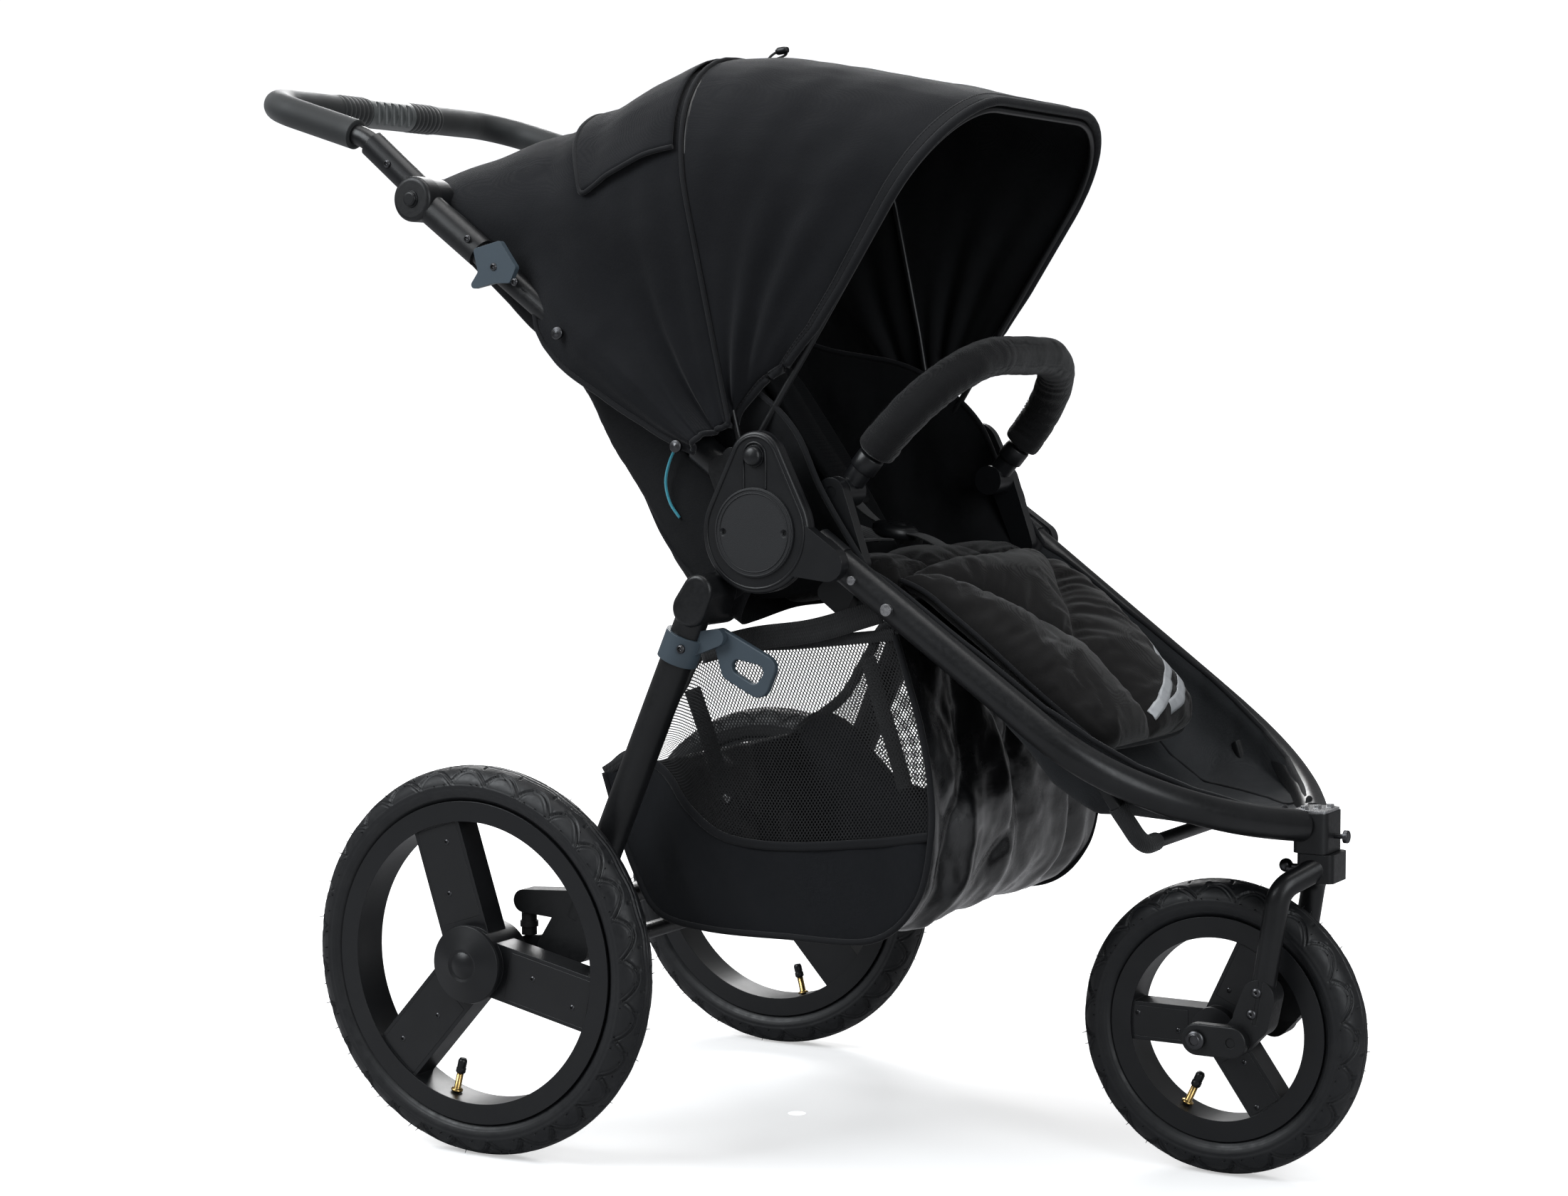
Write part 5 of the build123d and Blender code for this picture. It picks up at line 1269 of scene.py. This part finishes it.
def build_wings():
    """Side wings of the seat: cloth inside each hub, from the cushion up to the canopy, with a piped edge."""
    low = ((0.205, 0.598), (0.262, 0.580), (0.320, 0.588), (0.372, 0.602), (0.398, 0.606))
    high = ((0.030, 0.868), (0.120, 0.835), (0.215, 0.818), (0.272, 0.792), (0.318, 0.752), (0.350, 0.690), (0.398, 0.618))
    for side_name, side in (("right", -1), ("left", 1)):
        bottom, top = smooth_curve(low, 80), smooth_curve(high, 80)
        rows = []
        for share in np.linspace(0, 1, 44):
            row = []
            for x, z in bottom * (1 - share) + top * share:
                y = 0.2065 - 0.030 * (1 - share) ** 2.5 - 0.006 * math.sin(math.pi * share)
                y += 0.0022 * math.sin(60 * x + 26 * z) * math.sin(math.pi * share)
                y += wrinkle((x, side, z), 0.05, 0.0022) * math.sin(math.pi * share)
                row.append((x, side * min(y, 0.2085), z))
            rows.append(row)
        wing = sheet_object(f"seat_wing_{side_name}", rows, panel_cloth)
        thicken(wing, 0.0022)
        wing.data.shade_smooth()
        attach(wing, "handle_frame")
        edge = smooth_curve([Vector(p) for p in rows[-1]], 140)
        tube_object(f"seat_wing_piping_{side_name}", edge, 0.0030, binding_cloth, "handle_frame", up=(0, 1, 0),
                            around=10)


def build_harness():
    """Five-point harness: padded shoulder straps, lap straps, crotch strap and the buckle."""
    def line(points, count=60):
        return smooth_curve(points, count)
    for side_name, side in (("right", -1), ("left", 1)):
        shoulder = [(0.112, side * 0.045, 0.842), (0.150, side * 0.050, 0.797), (0.200, side * 0.052, 0.724),
                    (0.258, side * 0.045, 0.662), (0.318, side * 0.022, 0.634)]
        piece = strap_object(f"shoulder_strap_{side_name}", line(shoulder), 0.025, 0.0018, strap_web, "backrest",
                             up=(0.8, 0, 0.6))
        pad = strap_object(f"shoulder_pad_{side_name}", line(shoulder)[6:44], 0.046, 0.011, lining_cloth, "backrest",
                           up=(0.8, 0, 0.6))
        lap = [(0.262, side * 0.150, 0.618), (0.285, side * 0.110, 0.628), (0.312, side * 0.060, 0.634),
               (0.325, side * 0.026, 0.634)]
        strap_object(f"lap_strap_{side_name}", line(lap, 40), 0.025, 0.0018, strap_web, "chassis", up=(0, 0, 1))
    crotch = [(0.392, 0, 0.612), (0.378, 0, 0.626), (0.356, 0, 0.636), (0.334, 0, 0.640)]
    strap_object("crotch_strap", line(crotch, 30), 0.027, 0.0020, strap_web, "chassis", up=(0, 0, 1))
    buckle = [(0.0001, 0.0085), (0.010, 0.0082), (0.0118, 0.0068), (0.013, 0.0074), (0.021, 0.0062), (0.0245, 0.0036),
              (0.0245, -0.0050), (0.022, -0.0066), (0.0001, -0.0068)]
    lathe_object("harness_buckle", buckle[::-1], (0.322, 0, 0.642), (0.2, 0, 0.98), nylon, "chassis")


build_seat_shell()
build_wings()
build_footwell()
build_harness()
# ---------------------------------------------------------------- storage basket

BASKET_HALF, BASKET_HANG = 0.199, Vector((0.3, 0, 0.555))
BASKET_PROFILE = ((0.428, 0.551), (0.443, 0.505), (0.457, 0.459), (0.467, 0.405), (0.468, 0.350), (0.452, 0.286),
                  (0.402, 0.243), (0.300, 0.238), (0.207, 0.238), (0.150, 0.250), (0.122, 0.292), (0.100, 0.345),
                  (0.084, 0.392))
SIDE_TOP = ((0.428, 0.551), (0.320, 0.538), (0.213, 0.526), (0.180, 0.486), (0.150, 0.440), (0.118, 0.414), (0.084, 0.392))
BAND_TOP = ((0.466, 0.352), (0.400, 0.341), (0.300, 0.331), (0.232, 0.336), (0.190, 0.362), (0.160, 0.398),
            (0.118, 0.414), (0.084, 0.392))


def hang(piece):
    """Put a piece of basket cloth on the chassis, with a mesh of its own."""
    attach(piece, "chassis")
    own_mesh(piece)
    return piece


def fold_depth(across, down):
    """Depth of the loose folds in the coated front, which fan out from its lower corners and die out upwards."""
    total = 0.0
    for root, lean, width, depth, first, last in ((-0.172, 0.24, 0.020, 0.012, 0.02, 0.34), (-0.120, 0.02, 0.017, -0.009, 0.10, 0.36),
                                                  (-0.075, 0.36, 0.014, 0.010, 0.04, 0.30), (-0.010, -0.16, 0.019, -0.010, 0.08, 0.36),
                                                  (0.050, -0.30, 0.015, 0.011, 0.03, 0.28), (0.105, 0.10, 0.018, -0.008, 0.12, 0.36),
                                                  (0.160, -0.20, 0.015, 0.011, 0.05, 0.35)):
        line = root + lean * (0.34 - down) + 0.006 * math.sin(down * 31 + root * 50)
        grow = math.sin(math.pi * min(max((down - first) / (last - first), 0.0), 1.0))
        total += depth * math.exp(-abs((across - line) / width) ** 1.6) * grow
    return total


def build_basket_wrap():
    """Front, floor and back of the basket: one strip of coated nylon, creased and sagging."""
    profile = smooth_curve(BASKET_PROFILE, 150)
    heading = np.gradient(profile, axis=0)
    heading /= np.linalg.norm(heading, axis=1)[:, None]
    travelled = np.concatenate([[0], np.cumsum(np.linalg.norm(np.diff(profile, axis=0), axis=1))])
    rows = []
    for (x, z), (hx, hz), down in zip(profile, heading, travelled):
        out = Vector((-hz, 0, hx)) * -1
        row = []
        for y in np.linspace(-BASKET_HALF, BASKET_HALF, 130):
            edge = min(1.0, (BASKET_HALF - abs(y)) / 0.03)
            belly = 0.012 * (1 - (y / BASKET_HALF) ** 2) * math.exp(-((down - 0.62) / 0.25) ** 2)
            depth = fold_depth(y, down) * edge + belly
            depth += wrinkle((x, y, z), 0.07, 0.0045) * edge + 0.0016 * math.sin(y * 150 + 40 * z) * (1 - edge)
            row.append(Vector((x, y, z)) + out * depth)
        rows.append(row)
    wrap = sheet_object("basket_wrap", rows, basket_coated)
    thicken(wrap, 0.0012)
    wrap.data.shade_smooth()
    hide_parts("storage_basket")
    hang(wrap)


def side_point(x, z, side, lift=0.0):
    """Point of a side panel, which bellies out a little between its seams."""
    inside = math.sin(math.pi * np.clip((x - 0.09) / 0.375, 0, 1)) * math.sin(math.pi * np.clip((z - 0.235) / 0.30, 0, 1))
    y = BASKET_HALF + 0.007 * max(inside, 0.0) + lift + wrinkle((x, side, z), 0.06, 0.0012) * max(inside, 0.0)
    return Vector((x, side * y, z))


def between(low_line, high_line, name, material, side, rows_count, lift=0.0, ripple=0.0):
    """Side panel sheet between two lines of (x, z) points."""
    low, high = smooth_curve(low_line, 110), smooth_curve(high_line, 110)
    rows = []
    for share in np.linspace(0, 1, rows_count):
        line = low * (1 - share) + high * share
        row = []
        for x, z in line:
            wave = ripple * math.sin(x * 95 + 30 * z) * math.sin(math.pi * share)
            row.append(side_point(x, z, side, lift + wave))
        rows.append(row)
    return sheet_object(name, rows, material)


def build_basket_side(side_name, side):
    """Mesh window above, nylon band below, with piping, hem webbing and an inner strap."""
    bottom = BASKET_PROFILE[4:]
    band = between(bottom, BAND_TOP, f"basket_band_{side_name}", basket_nylon, side, 34, ripple=0.0018)
    thicken(band, 0.0012)
    band.data.shade_smooth()
    hang(band)
    upper_front = BASKET_PROFILE[:5]
    high = smooth_curve(SIDE_TOP, 110)
    low = smooth_curve(BAND_TOP, 110)
    front = smooth_curve(upper_front, 40)
    rows = []
    for share in np.linspace(0, 1, 40):
        row = []
        seam = front[::-1][int(round(share * 39))]
        for k in range(110):
            line = low[k] * (1 - share) + high[k] * share
            pull = math.exp(-(k / 16.0) ** 2)
            start = low[0] * (1 - share) + high[0] * share
            row.append(side_point(*(line + (seam - start) * pull), side, -0.0008))
        rows.append(row)
    net = sheet_object(f"basket_net_{side_name}", rows, basket_net)
    hang(net)
    around = smooth_curve(BASKET_PROFILE, 220)
    piping = [side_point(x, z, side, 0.0012) for x, z in around]
    hang(tube_object(f"basket_piping_{side_name}", piping, 0.0034, binding_cloth, up=(0, 1, 0), around=10))
    hem = [side_point(x, z, side, 0.0010) for x, z in smooth_curve(BAND_TOP, 160)]
    hang(strap_object(f"basket_band_hem_{side_name}", hem, 0.0012, 0.009, binding_cloth, up=(0.1, 0, 1)))
    top = [side_point(x, z, side, 0.0012) for x, z in smooth_curve(SIDE_TOP, 160)]
    hang(strap_object(f"basket_top_hem_{side_name}", top, 0.0016, 0.012, strap_web, up=(0.1, 0, 1)))
    inner = [(0.186, side * 0.190, 0.484), (0.205, side * 0.187, 0.430), (0.222, side * 0.187, 0.380),
             (0.236, side * 0.188, 0.335)]
    hang(strap_object(f"basket_inner_strap_{side_name}", smooth_curve(inner, 40), 0.020, 0.0016, strap_web,
                      up=(0, side, 0)))
    snap = [(0.0001, 0.0032), (0.0040, 0.0030), (0.0052, 0.0018), (0.0056, 0.0)]
    hang(lathe_object(f"basket_snap_{side_name}", snap[::-1], (0.226, side * 0.1885, 0.372), (0, side, 0), steel))
    hanger = [(0.205, side * 0.203, 0.524), (0.270, side * 0.206, 0.541), (0.340, side * 0.207, 0.552),
              (0.415, side * 0.206, 0.574)]
    hang(strap_object(f"basket_hanger_{side_name}", smooth_curve(hanger, 50), 0.0018, 0.024, strap_web, up=(0.1, 0, 1)))


def build_basket():
    build_basket_wrap()
    build_basket_side("right", -1)
    build_basket_side("left", 1)


build_basket()
# ---------------------------------------------------------------- small details of the frame

def hull_outline(discs, y, side, count=120):
    """Closed outline that wraps discs (x, z, radius), at a distance y out from the centre."""
    points = []
    for angle in np.linspace(0, 2 * math.pi, count, endpoint=False):
        way = np.array((math.cos(angle), math.sin(angle)))
        x, z, r = max(discs, key=lambda d: d[0] * way[0] + d[1] * way[1] + d[2])
        points.append((x + r * way[0], side * y, z + r * way[1]))
    dense = np.array(points + points[:1])
    travelled = np.concatenate([[0], np.cumsum(np.linalg.norm(np.diff(dense, axis=0), axis=1))])
    wanted = np.linspace(0, travelled[-1], 2 * count, endpoint=False)
    return np.stack([np.interp(wanted, travelled, dense[:, axis]) for axis in range(3)], axis=1)


def ring_object(name, centre, radius, thick, side, material, body):
    """Thin raised ring round an axis along Y."""
    turns = np.linspace(0, 2 * math.pi, 96, endpoint=False)
    path = [(centre[0] + radius * math.cos(t), side * centre[1], centre[2] + radius * math.sin(t)) for t in turns]
    return tube_object(name, path, thick, material, body, up=(0, 1, 0), around=10, closed=True)


def build_hub_details():
    """Ridges, strip and rings moulded into the hub plates, a paler cord painted along each plate's edge as a highlight,
    and the domes of the hub buttons.
    """
    for side_name, side in (("right", -1), ("left", 1)):
        pear = ((0.297, 0.651, 0.0555), (0.297, 0.722, 0.0245))
        ridge = hull_outline(pear, 0.2500, side)
        tube_object(f"hub_rim_{side_name}", ridge, 0.0014, nylon, "chassis", up=(0, 1, 0), around=10, closed=True)
        # painted highlight: a paler nylon cord along the plate's outer edge stands in for its bright rim
        wider = ((0.297, 0.651, 0.0602), (0.297, 0.722, 0.0292))
        tube_object(f"hub_light_line_{side_name}", hull_outline(wider, 0.2405, side), 0.0010, disc_nylon, "chassis",
                    up=(0, 1, 0), around=8, closed=True)
        strip = [(0.2845, side * 0.2503, 0.694), (0.2845, side * 0.2503, 0.726), (0.2880, side * 0.2503, 0.7365),
                 (0.2970, side * 0.2503, 0.7405), (0.3060, side * 0.2503, 0.7365), (0.3095, side * 0.2503, 0.726),
                 (0.3095, side * 0.2503, 0.694)]
        tube_object(f"hub_strip_{side_name}", smooth_curve(strip, 90), 0.0013, nylon, "chassis", up=(0, 1, 0), around=10)
        for radius in (0.0430, 0.0392):
            ring_object(f"hub_disc_ring_{side_name}_{int(radius * 1e4)}", (0.297, 0.2532, 0.651), radius, 0.0007, side,
                        disc_nylon, "chassis")
        dome = [(0.0098, -0.001), (0.0096, 0.0012), (0.0080, 0.0032), (0.0050, 0.0044), (0.0001, 0.0048)]
        low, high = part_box(f"hub_button_{side_name}")
        face = max(abs(low.y), abs(high.y))
        lathe_object(f"hub_button_dome_{side_name}", dome, (0.297, side * (face - 0.0006), 0.727), (0, side, 0), nylon,
                     f"hub_button_{side_name}", around=36)


def build_frame_screws():
    """Screws and bolts seen on the outside of the frame."""
    for side_name, side in (("right", -1), ("left", 1)):
        base = BUMPER_PIVOT + Vector((0.040 * math.cos(BUMPER_TILT), 0, 0.040 * math.sin(BUMPER_TILT)))
        screw_head(f"bumper_screw_{side_name}", (base.x, side * (0.168 + 0.0125), base.z), (0, side, 0), 0.0030, steel,
                   "bumper_bar", height=0.0014)
        collar = [(0.0138, 0.0), (0.0142, 0.001), (0.0142, 0.016), (0.0132, 0.018), (0.0001, 0.0182)]
        lathe_object(f"bumper_socket_{side_name}", [(0.0001, -0.0002)] + collar,
                     BUMPER_PIVOT + Vector((0.030 * math.cos(BUMPER_TILT), side * 0.168, 0.030 * math.sin(BUMPER_TILT))),
                     (math.cos(BUMPER_TILT), 0, math.sin(BUMPER_TILT)), nylon, "bumper_bar", around=36)


def build_handle_screws():
    """Small screws that hold the handlebar sockets and the angle joints to their tubes."""
    for part, body, x, y, z in (("handlebar_sockets", "handlebar", -0.162, 0.2376, 1.031),
                                ("joint_housings", "handle_frame", -0.0505, 0.2484, 0.949)):
        for side_name, side in (("right", -1), ("left", 1)):
            screw_head(f"{part}_screw_{side_name}", (x, side * y, z), (0, side, 0), 0.0042, dark_steel, body,
                       height=0.0020)


def build_cords():
    """Cyan safety cord beside the seat, and webbing wrapped round the foot hoop."""
    for side_name, side in (("right", -1), ("left", 1)):
        wrap = [(0.652, side * 0.166, 0.391), (0.661, side * 0.159, 0.374), (0.668, side * 0.152, 0.360),
                (0.672, side * 0.140, 0.3525), (0.672, side * 0.118, 0.352)]
        tube_object(f"hoop_webbing_{side_name}", smooth_curve(wrap, 50), 0.0092, strap_web, "chassis", up=(1, 0, 0),
                            around=24)
    cord_line = [(0.196, -0.2235, 0.742), (0.184, -0.2245, 0.724), (0.1765, -0.2235, 0.700), (0.1800, -0.2215, 0.678),
                 (0.1900, -0.2190, 0.662)]
    tube_object("cyan_cord", smooth_curve(cord_line, 60), 0.0015, cyan_cord, "handle_frame", up=(0, 1, 0),
                        around=10)


def build_lever_rivets():
    """Rivets of the fold levers and the screw of the leg clamp."""
    for side_name, side in (("right", -1), ("left", 1)):
        low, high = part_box(f"fold_lever_{side_name}")
        face = max(abs(low.y), abs(high.y))
        for number, (x, z) in enumerate(((-0.014, 0.919), (0.012, 0.903))):
            screw_head(f"lever_rivet_{side_name}_{number}", (x, side * face, z), (0, side, 0), 0.0042, dark_steel,
                       f"fold_lever_{side_name}", height=0.0022)
    low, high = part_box("leg_clamp")
    clamp_face = ((low.x + high.x) / 2 - 0.002, low.y + 0.0004, (low.z + high.z) / 2)
    screw_head("clamp_screw", clamp_face, (0, -1, 0), 0.0046, dark_steel, "rear_frame", height=0.0024)


def build_fork_fasteners():
    """Two domed rivets on each fork bracket and the socket bolt at the end of the front axle."""
    bracket_face, axle_end = 0.0618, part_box("front_axle")[1].y
    rim_low, rim_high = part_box("rim_front")
    axle = (rim_low + rim_high) / 2
    for side_name, side in (("right", -1), ("left", 1)):
        for number, (x, z) in enumerate(((0.7555, 0.2005), (0.7505, 0.1785))):
            screw_head(f"fork_rivet_{side_name}_{number}", (x, side * bracket_face, z), (0, side, 0), 0.0052, dark_steel,
                       "fork", recess=0.35, height=0.0026)
        screw_head(f"front_axle_bolt_{side_name}", (axle.x, side * (axle_end - 0.0015), axle.z), (0, side, 0),
                   0.0098, dark_steel, "front_suspension", height=0.0030)


build_hub_details()
build_lever_rivets()
build_fork_fasteners()
build_handle_screws()
build_frame_screws()
build_cords()


# ---------------------------------------------------------------- stage, lights and camera

def paper(name):
    """Pale studio floor with painted light: to the camera it glows, weakly near the stroller and more strongly farther
    out, so it looks nearly white; it throws less light back up at the stroller.
    """
    look = Look(name, roughness=0.8, specular_ior_level=0.1)
    seen = look.add("ShaderNodeLightPath").outputs["Is Camera Ray"]
    shade = look.blend(look.noise(0.6, 3), (0.90, 0.90, 0.905), (0.93, 0.93, 0.93))
    look.set("Base Color", look.blend(seen, (0.36, 0.36, 0.37), shade))
    # painted light: this glow is seen only by the camera and grows with distance from the middle of the stage
    look.set("Emission Color", (1.0, 1.0, 1.0))
    far = look.add("ShaderNodeVectorMath", {0: look.point}, operation="LENGTH").outputs["Value"]
    look.set("Emission Strength", look.math("MULTIPLY", seen, look.spread(far, 0.9, 3.5, 0.45, 1.3)))
    look.bump(look.noise(0.002, 2), 0.00003)
    return look.material


def build_stage():
    """Round floor under the stroller, wide enough to reach the horizon on every side."""
    turns = np.linspace(0, 2 * math.pi, 96, endpoint=False)
    rows = [[(r * math.cos(t) + 0.2, r * math.sin(t), 0.0) for t in turns] for r in (0.01, 2.0, 6.0, 40.0)]
    floor = sheet_object("studio_floor", rows, paper("studio_paper"), closed=True)


def area_light(name, position, target, size, power, colour=(1, 1, 1)):
    data = bpy.data.lights.new(name, "AREA")
    data.shape = "RECTANGLE"
    data.size, data.size_y = size
    data.energy = power
    data.color = colour
    light = bpy.data.objects.new(name, data)
    bpy.context.scene.collection.objects.link(light)
    light.location = position
    light.rotation_euler = (Vector(target) - Vector(position)).to_track_quat("-Z", "Y").to_euler()


COOL_WHITE = (0.93, 0.97, 1.0)
CAMERA_TURN = math.radians(30.048)
CAMERA_TILT = math.radians(4.370)
CAMERA_ROLL = math.radians(-0.184)
CAMERA_PLACE = Vector((1.84457, -2.86754, 0.81826))
CAMERA_LENS = 70.46


def build_camera():
    """Camera from the front right, a little above the middle of the stroller."""
    look = Vector((-math.sin(CAMERA_TURN) * math.cos(CAMERA_TILT), math.cos(CAMERA_TURN) * math.cos(CAMERA_TILT),
                   -math.sin(CAMERA_TILT)))
    level = Vector((math.cos(CAMERA_TURN), math.sin(CAMERA_TURN), 0))
    upward = level.cross(look)
    right = level * math.cos(CAMERA_ROLL) + upward * math.sin(CAMERA_ROLL)
    top = upward * math.cos(CAMERA_ROLL) - level * math.sin(CAMERA_ROLL)
    data = bpy.data.cameras.new("camera")
    data.lens = CAMERA_LENS
    data.sensor_width = 36.0
    data.clip_end = 60.0
    camera = bpy.data.objects.new("camera", data)
    bpy.context.scene.collection.objects.link(camera)
    camera.matrix_world = Matrix((right, top, -look)).transposed().to_4x4()
    camera.location = CAMERA_PLACE
    bpy.context.scene.camera = camera


def build_lights():
    """Soft studio light: large key from upper left, fill from the right, strip from behind."""
    middle = (0.25, 0, 0.6)
    area_light("key_light", (-1.6, -2.4, 3.0), middle, (2.4, 2.4), 112, COOL_WHITE)
    area_light("fill_light", (3.2, -1.6, 1.7), middle, (1.6, 2.4), 42, COOL_WHITE)
    area_light("top_light", (0.3, 0.2, 3.6), middle, (2.6, 2.0), 48)
    area_light("rim_light", (-1.5, 2.6, 2.2), middle, (2.0, 1.4), 75)
    world = bpy.data.worlds.new("studio_world")
    bpy.context.scene.world = world
    world.use_nodes = True
    tree = world.node_tree
    background = tree.nodes["Background"]
    background.inputs["Color"].default_value = (0.97, 0.98, 1.0, 1.0)
    seen = tree.nodes.new("ShaderNodeLightPath").outputs["Is Camera Ray"]
    strength = tree.nodes.new("ShaderNodeMapRange")
    strength.inputs["To Min"].default_value = 0.20
    strength.inputs["To Max"].default_value = 1.1
    tree.links.new(seen, strength.inputs["Value"])
    tree.links.new(strength.outputs[0], background.inputs["Strength"])


build_stage()
build_lights()
build_camera()
bpy.context.scene.view_settings.view_transform = "Standard"
